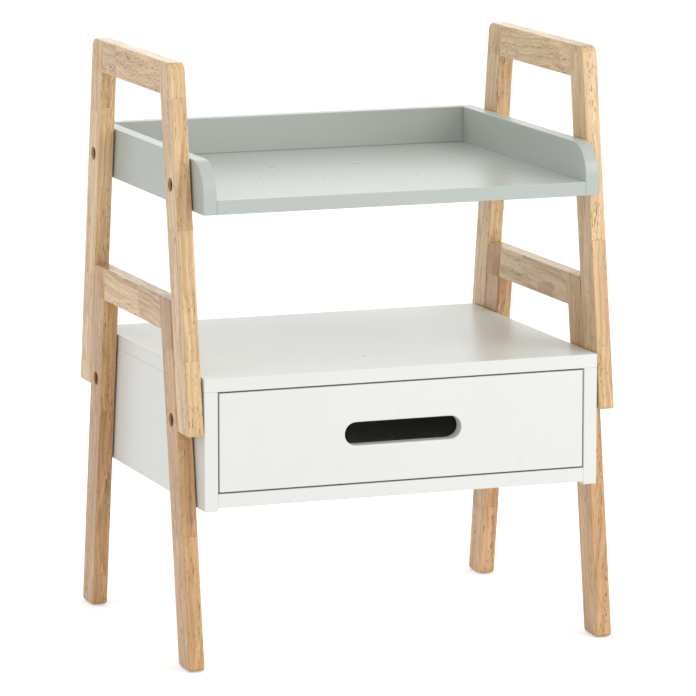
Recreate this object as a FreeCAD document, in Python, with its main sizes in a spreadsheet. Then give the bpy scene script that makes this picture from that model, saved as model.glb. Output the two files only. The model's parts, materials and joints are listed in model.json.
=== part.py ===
import FreeCAD, Part
import os
import re
import Sketcher

# A baby changing table that stacks from two tiers. Two low splayed frames carry a
# cabinet with one drawer, and two high frames nest over them and carry an open tray.
# Millimetres. +Z is up, +X is to the right seen from the front, and the front is -Y.
# The origin is on the floor, under the middle of the table.
#
# A size is written once, in the table below, and every place or length is a formula of
# those names. The slides set the length of the drawer, the drawer sets the depth of the
# cabinet, and the cabinet sets how far apart the legs stand and how deep the tray is.
# Sides are -1 for left and +1 for right; ends are -1 for front and +1 for rear.

SIZES = [
    # the four end frames
    ("overall_width", 710, "outer face of the left frames to outer face of the right frames"),
    ("overall_height", 940, "floor to the top of the high frames"),
    ("leg_thickness", 25, "frame timber, across the table"),
    ("leg_width", 54.5, "leg, measured level from front to rear"),
    ("leg_splay", 0.148, "how far a leg runs outwards for each unit it drops"),
    ("foot_reach", 4.12, "how far the low legs would stand out past the cabinet at the floor"),
    ("tier_overlap", 89.5, "top face of the cabinet down to the ends of the high frames' legs"),
    ("lower_frame_height", 572, "floor to the top of the low frames"),
    ("frame_gap", 2, "level gap between a low leg and the high leg outside it"),
    ("crossbar_height", 52, "crossbar between the two legs of a frame"),
    ("upper_corner_radius", 14, "outer top corners of the high frames"),
    ("lower_corner_radius", 6, "outer top corners of the low frames"),
    ("foot_corner_radius", 5, "corners at the end of every leg"),
    ("edge_radius", 2, "eased edges of the frame timber"),
    ("glide_thickness", 2, "nylon glide under each foot"),
    ("glide_radius", 10, "nylon glide under each foot"),
    ("glide_nail_radius", 1.25, "nail that holds a glide"),
    ("glide_nail_length", 15, "nail that holds a glide"),
    # how the frames are held to the tray and the cabinet
    ("panel_gap", 2.5, "spacer washer between a frame and the panel it is bolted to"),
    ("bolt_radius", 3, "machine bolts"),
    ("bolt_head_radius", 8.5, "flat heads of the machine bolts"),
    ("bolt_head_height", 3.5, "flat heads of the machine bolts"),
    ("bolt_socket_width", 4, "hexagon key across its flats"),
    ("bolt_socket_depth", 2.5, "hexagon socket"),
    ("bolt_clearance", 0.4, "room round a bolt in its through hole"),
    ("counterbore_radius", 11, "recess for a bolt head in a leg"),
    ("counterbore_depth", 7, "recess for a bolt head in a leg"),
    ("inner_recess_radius", 9.5, "recess for a bolt head inside the cabinet"),
    ("inner_recess_depth", 4.5, "recess for a stacking bolt's head in a cabinet side"),
    ("insert_radius", 4.5, "threaded insert"),
    ("insert_length", 14, "threaded insert"),
    ("insert_room", 1, "hole past the end of a threaded insert"),
    ("spacer_radius", 9, "spacer washer"),
    ("tray_bolt_rise", 39, "underside of the tray to the bolts that hold it"),
    ("cabinet_bolt_drop", 75.5, "top face of the cabinet to the bolts that hold it"),
    ("stack_bolt_drop", 55.5, "top face of the cabinet to the bolts that join the two tiers"),
    ("stack_bolt_inset", 10, "cabinet back to the bolts that join the two tiers"),
    # the tray
    ("tray_board", 22, "thickness of the tray's boards"),
    ("tray_behind", 16, "how far the tray reaches behind the cabinet"),
    ("tray_drop", 226.5, "top of the high frames to the underside of the tray"),
    ("tray_depth", 80.5, "underside of the tray to the top of its sides"),
    ("tray_corner_radius", 52, "quarter round at the front of each tray side"),
    ("board_edge_radius", 1.2, "eased edges of the lacquered boards"),
    # the cabinet
    ("cabinet_board", 22, "thickness of the cabinet's boards"),
    ("cabinet_forward", 9.75, "how far the cabinet's middle stands in front of the table's"),
    ("cabinet_top_height", 460.5, "floor to the top face of the cabinet"),
    ("cabinet_height", 209, "top face of the cabinet to the lower edge of its sides"),
    ("cabinet_floor_raise", 5, "lower edge of the sides to the underside of the bottom board"),
    ("back_thickness", 9, "cabinet back, let in flush"),
    ("rebate_width", 10, "how far the back reaches into the boards around it"),
    ("rebate_clearance", 0.3, "room round the back in its rebate"),
    # the drawer
    ("drawer_gap", 2.5, "gap round the drawer front"),
    ("drawer_front_board", 22, "thickness of the drawer front"),
    ("slot_length", 194, "hand slot, end to end"),
    ("slot_height", 37, "hand slot"),
    ("slot_edge_radius", 2, "eased rim of the hand slot"),
    ("drawer_board", 12, "thickness of the drawer's sides and back"),
    ("drawer_lift", 13, "bottom board of the cabinet to the drawer's sides"),
    ("drawer_headroom", 32, "top of the drawer's sides to the cabinet's top board"),
    ("drawer_rear_room", 41.5, "drawer's back to the cabinet's back"),
    ("drawer_floor_thickness", 5, "drawer floor"),
    ("groove_depth", 6, "groove that holds the drawer floor"),
    ("groove_lift", 10, "lower edge of the drawer's sides to the groove"),
    ("groove_clearance", 0.3, "room for the drawer floor in its groove"),
    # the drawer slides
    ("slide_space", 13, "cabinet side to drawer side"),
    ("slide_length", 450, "all three rails of a slide"),
    ("slide_travel", 400, "how far the drawer pulls out"),
    ("slide_lift", 43.5, "lower edge of the drawer's sides to the middle of the slides"),
    ("slide_setback", 5, "drawer front to the front end of the slides"),
    ("slide_tail", 2, "how far the drawer's sides run on behind the slides"),
    ("rail_height", 45, "cabinet rail"),
    ("rail_steel", 1.2, "sheet that the rails are rolled from"),
    ("rail_web_gap", 2.4, "web of the cabinet rail to web of the middle rail"),
    ("rail_tip_gap", 0.4, "edge of the middle rail to the web of the drawer rail"),
    ("rail_edge_gap", 0.9, "edge of the drawer rail to the web of the middle rail"),
    ("rail_side_gap", 3, "edge of the cabinet rail to the drawer side"),
    ("race_gap", 2.6, "room for a row of balls between two rails"),
    ("ball_clearance", 0.1, "ball to the race on each side of it"),
    ("ball_pitch", 24, "ball to ball along a row"),
    ("cage_strip", 0.8, "strip that keeps the balls apart"),
    # hidden joints between boards
    ("dowel_radius", 4, "wooden dowels"),
    ("dowel_length", 32, "wooden dowels"),
    ("dowel_room", 1, "glue room at each end of a dowel"),
    ("dowel_pitch", 26, "the two dowels at each end of a crossbar"),
    ("thin_dowel_radius", 3, "wooden dowels in the drawer"),
    ("thin_dowel_length", 24, "wooden dowels in the drawer"),
    ("thin_dowel_bury", 8, "how far a thin dowel enters the drawer front or a drawer side"),
    ("thin_dowel_margin", 9, "edge of the drawer's back to the middle of a thin dowel"),
    ("cam_radius", 7.5, "cam discs"),
    ("cam_setback", 34, "joint face to the middle of a cam disc"),
    ("cam_bury", 2.5, "how far a cam disc reaches past the middle of its board"),
    ("cam_clearance", 0.1, "room round a cam bolt's head in its disc"),
    ("cam_drive_radius", 2.5, "square driver recess in a cam disc"),
    ("cam_drive_depth", 1.5, "square driver recess in a cam disc"),
    ("cam_bolt_radius", 3, "cam bolts"),
    ("cam_bolt_head", 3.5, "head of a cam bolt"),
    ("cam_bolt_anchor", 10, "how far a cam bolt screws into the other board"),
    ("cam_inset", 60, "board edge to the cam beside it"),
    ("dowel_inset", 110, "board edge to the dowel beside it"),
    # screws
    ("screw_radius", 1.75, "wood screws"),
    ("screw_head_radius", 3.2, "wood screws"),
    ("screw_head_height", 1.8, "wood screws"),
    ("screw_drive_depth", 0.9, "square driver recess in a wood screw"),
    ("rail_screw_length", 10, "screws through the slides"),
    ("rail_screw_inset", 60, "end of a slide to the screw beside it"),
    ("back_screw_length", 20, "screws through the cabinet back"),
    ("back_screw_inset", 70, "edge of the cabinet back to the screw beside it"),
    ("tray_screw_length", 48, "screws up through the tray into its back"),
    ("tray_screw_inset", 80, "tray side to the screw beside it"),
    ("floor_screw_length", 22, "screws up through the drawer floor"),
    ("floor_screw_inset", 80, "drawer side to the floor screw beside it"),
    ("cut_past", 1, "how far a cut runs on past a face, so that it leaves no skin"),
]

SIDES = {"left": -1, "right": 1}
ENDS = {"front": -1, "rear": 1}
AXES = {
    "+X": FreeCAD.Vector(1, 0, 0),
    "-X": FreeCAD.Vector(-1, 0, 0),
    "+Y": FreeCAD.Vector(0, 1, 0),
    "-Y": FreeCAD.Vector(0, -1, 0),
    "+Z": FreeCAD.Vector(0, 0, 1),
    "-Z": FreeCAD.Vector(0, 0, -1),
}
TOLERANCE = 0.01
SIZE_NAME = re.compile(r"\b(" + "|".join(name for name, size, meaning in SIZES) + r")\b")

# Places that several pieces share, as formulas of the sizes above.
PANEL_OUTER = "(overall_width / 2 - leg_thickness - panel_gap)"
TRAY_INNER = f"({PANEL_OUTER} - tray_board)"
CABINET_INNER = f"({PANEL_OUTER} - cabinet_board)"
DRAWER_OUTER = f"({CABINET_INNER} - slide_space)"
DRAWER_INNER = f"({DRAWER_OUTER} - drawer_board)"

DRAWER_LENGTH = "(slide_setback + slide_length + slide_tail)"
CABINET_DEPTH = f"(drawer_front_board + {DRAWER_LENGTH} + drawer_rear_room + back_thickness)"
CABINET_FRONT = f"({CABINET_DEPTH} / 2 + cabinet_forward)"
CABINET_REAR = f"({CABINET_DEPTH} / 2 - cabinet_forward)"
TRAY_REAR = f"({CABINET_REAR} + tray_behind)"
DRAWER_FACE = f"(-{CABINET_FRONT} + drawer_front_board)"
DRAWER_REAR = f"({DRAWER_FACE} + {DRAWER_LENGTH})"
SLIDE_FRONT = f"({DRAWER_FACE} + slide_setback)"
SLIDE_REAR = f"({SLIDE_FRONT} + slide_length)"
STACK_BOLT_REAR = f"({CABINET_REAR} - back_thickness - stack_bolt_inset)"

TRAY_UNDERSIDE = "(overall_height - tray_drop)"
TRAY_FLOOR = f"({TRAY_UNDERSIDE} + tray_board)"
TRAY_TOP = f"({TRAY_UNDERSIDE} + tray_depth)"
CABINET_CEILING = "(cabinet_top_height - cabinet_board)"
CABINET_FOOT = "(cabinet_top_height - cabinet_height)"
CABINET_BASE = f"({CABINET_FOOT} + cabinet_floor_raise)"
CABINET_FLOOR = f"({CABINET_BASE} + cabinet_board)"
STACK_BOLT_HEIGHT = "(cabinet_top_height - stack_bolt_drop)"
DRAWER_BASE = f"({CABINET_FLOOR} + drawer_lift)"
DRAWER_TOP = f"({CABINET_CEILING} - drawer_headroom)"
DRAWER_FRONT_BASE = f"({CABINET_FLOOR} + drawer_gap)"
DRAWER_FRONT_HEIGHT = f"({CABINET_CEILING} - drawer_gap - {DRAWER_FRONT_BASE})"
GROOVE_BASE = f"({DRAWER_BASE} + groove_lift)"
GROOVE_HEIGHT = "(drawer_floor_thickness + groove_clearance)"
GROOVE_TOP = f"({GROOVE_BASE} + {GROOVE_HEIGHT})"
SLIDE_HEIGHT = f"({DRAWER_BASE} + slide_lift)"

SLIDE_MIDDLE = f"({CABINET_INNER} - slide_space / 2)"
BOLT_HOLE = "bolt_radius + bolt_clearance"


def lower_edge(height):
    """Middle of the table to the outer edge of a low leg at a height."""
    return f"({CABINET_FRONT} + foot_reach - leg_splay * ({height}))"


def upper_edge(height):
    """Middle of the table to the outer edge of a high leg at a height."""
    return f"({lower_edge(height)} + frame_gap + leg_width)"


TIERS = {
    "lower": {
        "edge": lower_edge,
        "bottom": "glide_thickness",
        "top": "lower_frame_height",
        "corner": "lower_corner_radius",
        "bolt_height": "(cabinet_top_height - cabinet_bolt_drop)",
    },
    "upper": {
        "edge": upper_edge,
        "bottom": "(cabinet_top_height - tier_overlap)",
        "top": "overall_height",
        "corner": "upper_corner_radius",
        "bolt_height": f"({TRAY_UNDERSIDE} + tray_bolt_rise)",
    },
}


# ---------------------------------------------------------------- document helpers

def formula(text):
    """A formula of size names as an expression that reads them from the sheet."""
    return SIZE_NAME.sub(r"Size.\1", text)


def make_sheet(doc):
    """The spreadsheet that every other object reads its sizes from."""
    sheet = doc.addObject("Spreadsheet::Sheet", "Size")
    for row, (name, size, meaning) in enumerate(SIZES, start=1):
        sheet.set(f"A{row}", meaning)
        sheet.set(f"B{row}", str(size))
        sheet.setAlias(f"B{row}", name)
    doc.recompute()
    return sheet


def bind(obj, **formulas):
    """Tie properties of an object to formulas."""
    for name, text in formulas.items():
        obj.setExpression(name, formula(text))


def place(obj, at, axis="+Z"):
    """Put an object's origin at a point of three formulas, with its own Z along an axis."""
    turn = FreeCAD.Rotation(FreeCAD.Vector(0, 0, 1), AXES[axis])
    obj.Placement = FreeCAD.Placement(FreeCAD.Vector(0, 0, 0), turn)
    for letter, text in zip("xyz", at):
        obj.setExpression(f"Placement.Base.{letter}", formula(text))


def flip(axis):
    """The opposite of an axis."""
    return {"+": "-", "-": "+"}[axis[0]] + axis[1]


def along(at, axis, distance):
    """The point a distance along an axis from another point, all as formulas."""
    step = AXES[axis]
    moved = []
    for text, share in zip(at, step):
        moved.append(f"({text}) + {int(share)} * ({distance})" if share else text)
    return tuple(moved)


def inwards(side):
    """The axis that points from one side of the table to its middle."""
    return "+X" if side < 0 else "-X"


def body_plane(body, role):
    """One of a body's own origin planes."""
    for feature in body.Origin.OriginFeatures:
        if feature.Role == role:
            return feature
    raise RuntimeError(f"{body.Label} has no {role}")


def new_body(doc, label, corner):
    """A body with its own label, placed at a corner of three formulas."""
    body = doc.addObject("PartDesign::Body", label)
    body.Label = label
    place(body, corner)
    return body


def outline(body, role, corners):
    """A closed outline of straight lines on an origin plane, each corner two formulas.

    The corners start evenly round a circle, and the formulas then move each to its place.
    """
    sketch = body.newObject("Sketcher::SketchObject", body.Name + "_outline")
    sketch.AttachmentSupport = [(body_plane(body, role), "")]
    sketch.MapMode = "FlatFace"
    count = len(corners)
    start = []
    for index in range(count):
        turn = FreeCAD.Rotation(FreeCAD.Vector(0, 0, 1), 360 * index / count)
        start.append(turn.multVec(FreeCAD.Vector(100, 0, 0)))
    for index in range(count):
        sketch.addGeometry(Part.LineSegment(start[index], start[(index + 1) % count]), False)
    for index in range(count):
        sketch.addConstraint(Sketcher.Constraint("Coincident", index, 2, (index + 1) % count, 1))
    for index, (across, upwards) in enumerate(corners):
        for kind, text, value in (
            ("DistanceX", across, start[index].x),
            ("DistanceY", upwards, start[index].y),
        ):
            number = sketch.addConstraint(Sketcher.Constraint(kind, -1, 1, index, 1, value))
            sketch.setExpression(f"Constraints[{number}]", formula(text))
    return sketch


def pad(body, sketch, length):
    """The outline raised into a solid."""
    solid = body.newObject("PartDesign::Pad", body.Name + "_pad")
    solid.Profile = sketch
    bind(solid, Length=length)
    body.Document.recompute()
    return solid


def soften(body, base, radius, wanted):
    """Round the edges of a feature for which wanted(edge) is true."""
    names = []
    for number, edge in enumerate(base.Shape.Edges, start=1):
        if wanted(edge):
            names.append(f"Edge{number}")
    rounding = body.newObject("PartDesign::Fillet", base.Name + "_round")
    rounding.Base = (base, names)
    bind(rounding, Radius=radius)
    body.Document.recompute()
    return rounding


def runs_along(edge, axis):
    """Whether an edge is a straight one that runs along an axis."""
    if not isinstance(edge.Curve, Part.Line):
        return False
    return abs(edge.Curve.Direction.dot(AXES[axis])) > 0.999


def local(at, corner):
    """A point of the table as seen from a body's own corner."""
    return tuple(f"({a}) - ({c})" for a, c in zip(at, corner))


def drill(body, corner, at, axis, radius, depth):
    """A round hole in a body, from a point of the table along an axis."""
    hole = body.newObject("PartDesign::SubtractiveCylinder", body.Name + "_hole")
    bind(hole, Radius=radius, Height=depth)
    place(hole, local(at, corner), axis)


def carve(body, corner, low, size):
    """A square cut in a body, from its lowest corner and three lengths."""
    cut = body.newObject("PartDesign::SubtractiveBox", body.Name + "_cut")
    bind(cut, Length=size[0], Width=size[1], Height=size[2])
    place(cut, local(low, corner))


def board(doc, label, corner, size):
    """A flat board with all of its edges eased."""
    body = new_body(doc, label, corner)
    blank = body.newObject("PartDesign::AdditiveBox", label + "_blank")
    bind(blank, Length=size[0], Width=size[1], Height=size[2])
    doc.recompute()
    soften(body, blank, "board_edge_radius", lambda edge: True)
    return body


def cylinder(doc, name, radius, height):
    """A cylinder primitive."""
    solid = doc.addObject("Part::Cylinder", name)
    bind(solid, Radius=radius, Height=height)
    return solid


def minus(doc, name, base, tool):
    """One solid with another cut out of it."""
    cut = doc.addObject("Part::Cut", name)
    cut.Base = base
    cut.Tool = tool
    return cut


def joined(doc, name, solids):
    """Several solids fused into one."""
    fuse = doc.addObject("Part::MultiFuse", name)
    fuse.Shapes = solids
    return fuse


def group(doc, label, solids):
    """Separate solids of one kind that share a label."""
    compound = doc.addObject("Part::Compound", label)
    compound.Label = label
    compound.Links = solids
    return compound


# ---------------------------------------------------------------- dowels, cams and screws

def cam_depth(thickness):
    """How deep a cam disc is let into a board of a thickness."""
    return f"{thickness} / 2 + cam_bury"


THICK_DOWEL = {"radius": "dowel_radius", "length": "dowel_length", "bury": "dowel_length / 2"}
THIN_DOWEL = {"radius": "thin_dowel_radius", "length": "thin_dowel_length", "bury": "thin_dowel_bury"}


def drill_dowel(body, corner, at, axis, kind=THICK_DOWEL):
    """A dowel's hole through a joint face; only the part that lies in this body cuts it."""
    start = along(at, axis, f"-({kind['bury']}) - dowel_room")
    drill(body, corner, start, axis, kind["radius"], f"{kind['length']} + 2 * dowel_room")


def drill_cam_anchor(body, corner, at, axis):
    """The hole that a cam bolt screws into, on the far side of the joint."""
    drill(body, corner, at, flip(axis), "cam_bolt_radius", "cam_bolt_anchor")


def drill_cam_seat(body, corner, at, axis, face, thickness):
    """The two holes of a cam joint in the board that carries the disc."""
    drill(body, corner, at, axis, "cam_bolt_head", "cam_setback")
    surface = along(along(at, axis, "cam_setback"), face, f"{thickness} / 2")
    drill(body, corner, surface, flip(face), "cam_radius", cam_depth(thickness))


def make_dowels(doc, label, joints, kind=THICK_DOWEL):
    """Dowels across joint faces, from a list of points and axes."""
    dowels = []
    for at, axis in joints:
        dowel = cylinder(doc, label + "_dowel", kind["radius"], kind["length"])
        place(dowel, along(at, axis, f"-({kind['bury']})"), axis)
        dowels.append(dowel)
    return group(doc, label, dowels)


def make_cam_bolts(doc, label, joints):
    """Cam bolts, each with its thread in one board and its head in the cam disc."""
    bolts = []
    for at, axis, face, thickness in joints:
        stem = cylinder(doc, label + "_stem", "cam_bolt_radius", "cam_bolt_anchor + cam_setback")
        head = cylinder(doc, label + "_head", "cam_bolt_head", "cam_bolt_head")
        place(head, ("0", "0", "cam_bolt_anchor + cam_setback - cam_bolt_head"))
        bolt = joined(doc, label + "_bolt", [stem, head])
        place(bolt, along(at, axis, "-cam_bolt_anchor"), axis)
        bolts.append(bolt)
    return group(doc, label, bolts)


def make_cam_discs(doc, label, joints):
    """Cam discs, each open towards its bolt and recessed for a driver."""
    discs = []
    for at, axis, face, thickness in joints:
        middle = along(at, axis, "cam_setback")
        disc = cylinder(doc, label + "_disc", "cam_radius", cam_depth(thickness))
        place(disc, along(middle, face, f"{thickness} / 2"), flip(face))
        throat_radius = "cam_bolt_head + cam_clearance"
        throat = cylinder(doc, label + "_throat", throat_radius, "cam_radius + cam_clearance")
        place(throat, along(middle, axis, "cam_clearance"), flip(axis))
        drive = doc.addObject("Part::Prism", label + "_drive")
        drive.Polygon = 4
        bind(drive, Circumradius="cam_drive_radius", Height="cam_drive_depth")
        place(drive, along(middle, face, f"{thickness} / 2"), flip(face))
        discs.append(minus(doc, label + "_cam", disc, joined(doc, label + "_cuts", [throat, drive])))
    return group(doc, label, discs)


def make_screws(doc, label, places, length):
    """Flat-headed screws; each head's top is at its point and the screw runs along its axis."""
    screws = []
    for at, axis in places:
        head = cylinder(doc, label + "_head", "screw_head_radius", "screw_head_height")
        stem = cylinder(doc, label + "_stem", "screw_radius", length)
        drive = doc.addObject("Part::Prism", label + "_drive")
        drive.Polygon = 4
        bind(drive, Circumradius="screw_radius", Height="screw_drive_depth")
        screw = minus(doc, label + "_screw", joined(doc, label + "_blank", [head, stem]), drive)
        place(screw, at, axis)
        screws.append(screw)
    return group(doc, label, screws)


def drill_screw(body, corner, at, axis, length):
    """The hole of a screw whose head is let in flush."""
    drill(body, corner, at, axis, "screw_head_radius", "screw_head_height")
    drill(body, corner, at, axis, "screw_radius", length)


# ---------------------------------------------------------------- frames

def timber_middle(side):
    """The middle of a frame's timber, across the table."""
    return f"{side} * (overall_width / 2 - leg_thickness / 2)"


def foot_middle(height):
    """Middle of the table to the middle of a low leg at a height."""
    return f"({lower_edge(height)} - leg_width / 2)"


def leg_bolt_point(tier, side, end):
    """Where a frame bolt's axis meets the outer face of a leg."""
    height = TIERS[tier]["bolt_height"]
    middle = f"({TIERS[tier]['edge'](height)} - leg_width / 2)"
    return (f"{side} * overall_width / 2", f"{end} * {middle}", height)


def stack_point(side, end):
    """Where a stacking bolt's axis meets the inner face of a high leg."""
    return (
        f"{side} * (overall_width / 2 - leg_thickness)",
        f"{end} * {STACK_BOLT_REAR}",
        STACK_BOLT_HEIGHT,
    )


def frame_dowel_points(tier, side, end):
    """Middles of the two dowels between a leg and its crossbar."""
    edge = TIERS[tier]["edge"]
    points = []
    for step in (-1, 1):
        height = f"({TIERS[tier]['top']} - crossbar_height / 2 + {step} * dowel_pitch / 2)"
        points.append((timber_middle(side), f"{end} * ({edge(height)} - leg_width)", height))
    return points


def frame_corner(side):
    """The lowest corner in X of a frame's timber, as a body's place."""
    start = "-overall_width / 2" if side < 0 else "overall_width / 2 - leg_thickness"
    return (start, "0", "0")


def drill_frame_dowels(body, corner, tier, side, end):
    """The dowel holes that a leg and a crossbar share."""
    for at in frame_dowel_points(tier, side, end):
        drill_dowel(body, corner, at, "+Y")


def make_leg(doc, tier, side_name, end_name):
    """One splayed leg, with its rounded ends, bolt holes and dowel holes."""
    side = SIDES[side_name]
    end = ENDS[end_name]
    plan = TIERS[tier]
    bottom = plan["bottom"]
    top = plan["top"]
    corner = frame_corner(side)
    body = new_body(doc, f"{tier}_{side_name}_{end_name}_leg", corner)
    corners = [
        (f"{end} * {plan['edge'](bottom)}", bottom),
        (f"{end} * {plan['edge'](top)}", top),
        (f"{end} * ({plan['edge'](top)} - leg_width)", top),
        (f"{end} * ({plan['edge'](bottom)} - leg_width)", bottom),
    ]
    blank = pad(body, outline(body, "YZ_Plane", corners), "leg_thickness")

    box = blank.Shape.BoundBox
    middle = (box.ZMin + box.ZMax) / 2
    across = [edge for edge in blank.Shape.Edges if runs_along(edge, "+X")]
    high = [edge.CenterOfMass.y for edge in across if edge.CenterOfMass.z > middle]
    top_outer = max(high) if end > 0 else min(high)

    def is_top_outer(edge):
        point = edge.CenterOfMass
        return runs_along(edge, "+X") and point.z > middle and abs(point.y - top_outer) < TOLERANCE

    rounded = soften(body, blank, plan["corner"], is_top_outer)
    rounded = soften(
        body,
        rounded,
        "foot_corner_radius",
        lambda edge: runs_along(edge, "+X") and edge.CenterOfMass.z < box.ZMin + TOLERANCE,
    )

    def is_rim(edge):
        point = edge.CenterOfMass
        on_face = abs(point.x - box.XMin) < TOLERANCE or abs(point.x - box.XMax) < TOLERANCE
        return on_face and not runs_along(edge, "+X")

    soften(body, rounded, "edge_radius", is_rim)

    inner = inwards(side)
    bolt = leg_bolt_point(tier, side, end)
    drill(body, corner, bolt, inner, BOLT_HOLE, "leg_thickness")
    drill(body, corner, bolt, inner, "counterbore_radius", "counterbore_depth")
    drill_frame_dowels(body, corner, tier, side, end)
    if tier == "upper":
        outer = flip(inner)
        drill(body, corner, stack_point(side, end), outer, "insert_radius", "insert_length + insert_room")
    else:
        foot = (timber_middle(side), f"{end} * {foot_middle(bottom)}", bottom)
        drill(body, corner, foot, "+Z", "glide_nail_radius", "glide_nail_length")
    return body


def make_crossbar(doc, tier, side_name):
    """The rail between the tops of a frame's two legs."""
    side = SIDES[side_name]
    plan = TIERS[tier]
    top = plan["top"]
    low = f"({top} - crossbar_height)"
    corner = frame_corner(side)
    body = new_body(doc, f"{tier}_{side_name}_crossbar", corner)
    corners = [
        (f"-({plan['edge'](low)} - leg_width)", low),
        (f"{plan['edge'](low)} - leg_width", low),
        (f"{plan['edge'](top)} - leg_width", top),
        (f"-({plan['edge'](top)} - leg_width)", top),
    ]
    blank = pad(body, outline(body, "YZ_Plane", corners), "leg_thickness")
    soften(body, blank, "edge_radius", lambda edge: runs_along(edge, "+Y"))
    for end in ENDS.values():
        drill_frame_dowels(body, corner, tier, side, end)
    return body


def make_frame_dowels(doc):
    """The sixteen dowels that join crossbars to legs."""
    joints = []
    for tier in TIERS:
        for side in SIDES.values():
            for end in ENDS.values():
                for at in frame_dowel_points(tier, side, end):
                    joints.append((at, "+Y"))
    return make_dowels(doc, "frame_dowels", joints)


def make_glides(doc):
    """A nylon disc on a nail under each foot."""
    glides = []
    for side in SIDES.values():
        for end in ENDS.values():
            disc = cylinder(doc, "GlideDisc", "glide_radius", "glide_thickness")
            length = "glide_thickness + glide_nail_length"
            nail = cylinder(doc, "GlideNail", "glide_nail_radius", length)
            glide = joined(doc, "Glide", [disc, nail])
            place(glide, (timber_middle(side), f"{end} * {foot_middle('glide_thickness')}", "0"))
            glides.append(glide)
    return group(doc, "foot_glides", glides)


# ---------------------------------------------------------------- bolts, inserts, spacers

def make_bolt(doc, at, axis, shank):
    """A flat-headed bolt whose head rests at a point and whose shank runs along an axis."""
    head = cylinder(doc, "BoltHead", "bolt_head_radius", "bolt_head_height")
    place(head, ("0", "0", "-bolt_head_height"))
    stem = cylinder(doc, "BoltStem", "bolt_radius", shank)
    socket = doc.addObject("Part::Prism", "BoltSocket")
    socket.Polygon = 6
    bind(socket, Circumradius="bolt_socket_width / sqrt(3)", Height="bolt_socket_depth")
    place(socket, ("0", "0", "-bolt_head_height"))
    bolt = minus(doc, "Bolt", joined(doc, "BoltBlank", [head, stem]), socket)
    place(bolt, at, axis)
    return bolt


def make_ring(doc, name, at, axis, outer, inner, height):
    """A round sleeve or washer."""
    blank = cylinder(doc, name + "Blank", outer, height)
    bore = cylinder(doc, name + "Bore", inner, height)
    ring = minus(doc, name, blank, bore)
    place(ring, at, axis)
    return ring


def make_frame_fasteners(doc):
    """Everything that holds the frames to the tray and the cabinet."""
    frame_bolts = []
    stacking_bolts = []
    inserts = []
    spacers = []
    for side in SIDES.values():
        inner = inwards(side)
        for end in ENDS.values():
            for tier in TIERS:
                face = leg_bolt_point(tier, side, end)
                seat = along(face, inner, "counterbore_depth")
                shank = "leg_thickness - counterbore_depth + panel_gap + insert_length"
                frame_bolts.append(make_bolt(doc, seat, inner, shank))
                spacers.append((along(face, inner, "leg_thickness"), inner))
                inserts.append((along(face, inner, "leg_thickness + panel_gap"), inner))
            leg_face = stack_point(side, end)
            seat = along(leg_face, inner, "panel_gap + cabinet_board - inner_recess_depth")
            shank = "panel_gap + cabinet_board - inner_recess_depth + insert_length"
            stacking_bolts.append(make_bolt(doc, seat, flip(inner), shank))
            spacers.append((leg_face, inner))
            inserts.append((leg_face, flip(inner)))

    insert_rings = []
    for at, axis in inserts:
        ring = make_ring(doc, "Insert", at, axis, "insert_radius", "bolt_radius", "insert_length")
        insert_rings.append(ring)
    spacer_rings = []
    for at, axis in spacers:
        ring = make_ring(doc, "Spacer", at, axis, "spacer_radius", BOLT_HOLE, "panel_gap")
        spacer_rings.append(ring)
    return [
        group(doc, "frame_bolts", frame_bolts),
        group(doc, "stacking_bolts", stacking_bolts),
        group(doc, "threaded_inserts", insert_rings),
        group(doc, "spacer_washers", spacer_rings),
    ]


# ---------------------------------------------------------------- tray

def tray_joints(side):
    """Points on the joint between one tray side and the tray base."""
    axis = inwards(side)
    middle = f"{TRAY_UNDERSIDE} + tray_board / 2"
    cams = []
    dowels = []
    for inset, points in (("cam_inset", cams), ("dowel_inset", dowels)):
        for place_along in (f"-{CABINET_FRONT} + {inset}", f"{TRAY_REAR} - {inset}"):
            points.append((f"{side} * {TRAY_INNER}", place_along, middle))
    return axis, cams, dowels


def tray_back_dowel(side):
    """The dowel between one tray side and the end of the tray back."""
    height = f"({TRAY_FLOOR} + {TRAY_TOP}) / 2"
    return (f"{side} * {TRAY_INNER}", f"{TRAY_REAR} - tray_board / 2", height)


def tray_screw_points():
    """Heads of four evenly spaced screws that hold the tray back down on the base."""
    points = []
    for step in (-3, -1, 1, 3):
        across = f"{step} / 3 * ({TRAY_INNER} - tray_screw_inset)"
        points.append((across, f"{TRAY_REAR} - tray_board / 2", TRAY_UNDERSIDE))
    return points


def make_tray_side(doc, side_name):
    """A tray side with its big quarter round at the front."""
    side = SIDES[side_name]
    low = f"-{PANEL_OUTER}" if side < 0 else TRAY_INNER
    corner = (low, f"-{CABINET_FRONT}", TRAY_UNDERSIDE)
    body = new_body(doc, f"tray_{side_name}_side", corner)
    blank = body.newObject("PartDesign::AdditiveBox", body.Name + "_blank")
    bind(blank, Length="tray_board", Width=f"{CABINET_FRONT} + {TRAY_REAR}", Height="tray_depth")
    doc.recompute()
    box = blank.Shape.BoundBox

    def is_top_front(edge):
        point = edge.CenterOfMass
        at_corner = point.y < box.YMin + TOLERANCE and point.z > box.ZMax - TOLERANCE
        return runs_along(edge, "+X") and at_corner

    rounded = soften(body, blank, "tray_corner_radius", is_top_front)
    soften(body, rounded, "board_edge_radius", lambda edge: True)
    axis, cams, dowels = tray_joints(side)
    for at in cams:
        drill_cam_anchor(body, corner, at, axis)
    for at in dowels + [tray_back_dowel(side)]:
        drill_dowel(body, corner, at, axis)
    for end in ENDS.values():
        face = along(leg_bolt_point("upper", side, end), axis, "leg_thickness + panel_gap")
        drill(body, corner, face, axis, "insert_radius", "insert_length + insert_room")
    return body


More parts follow.
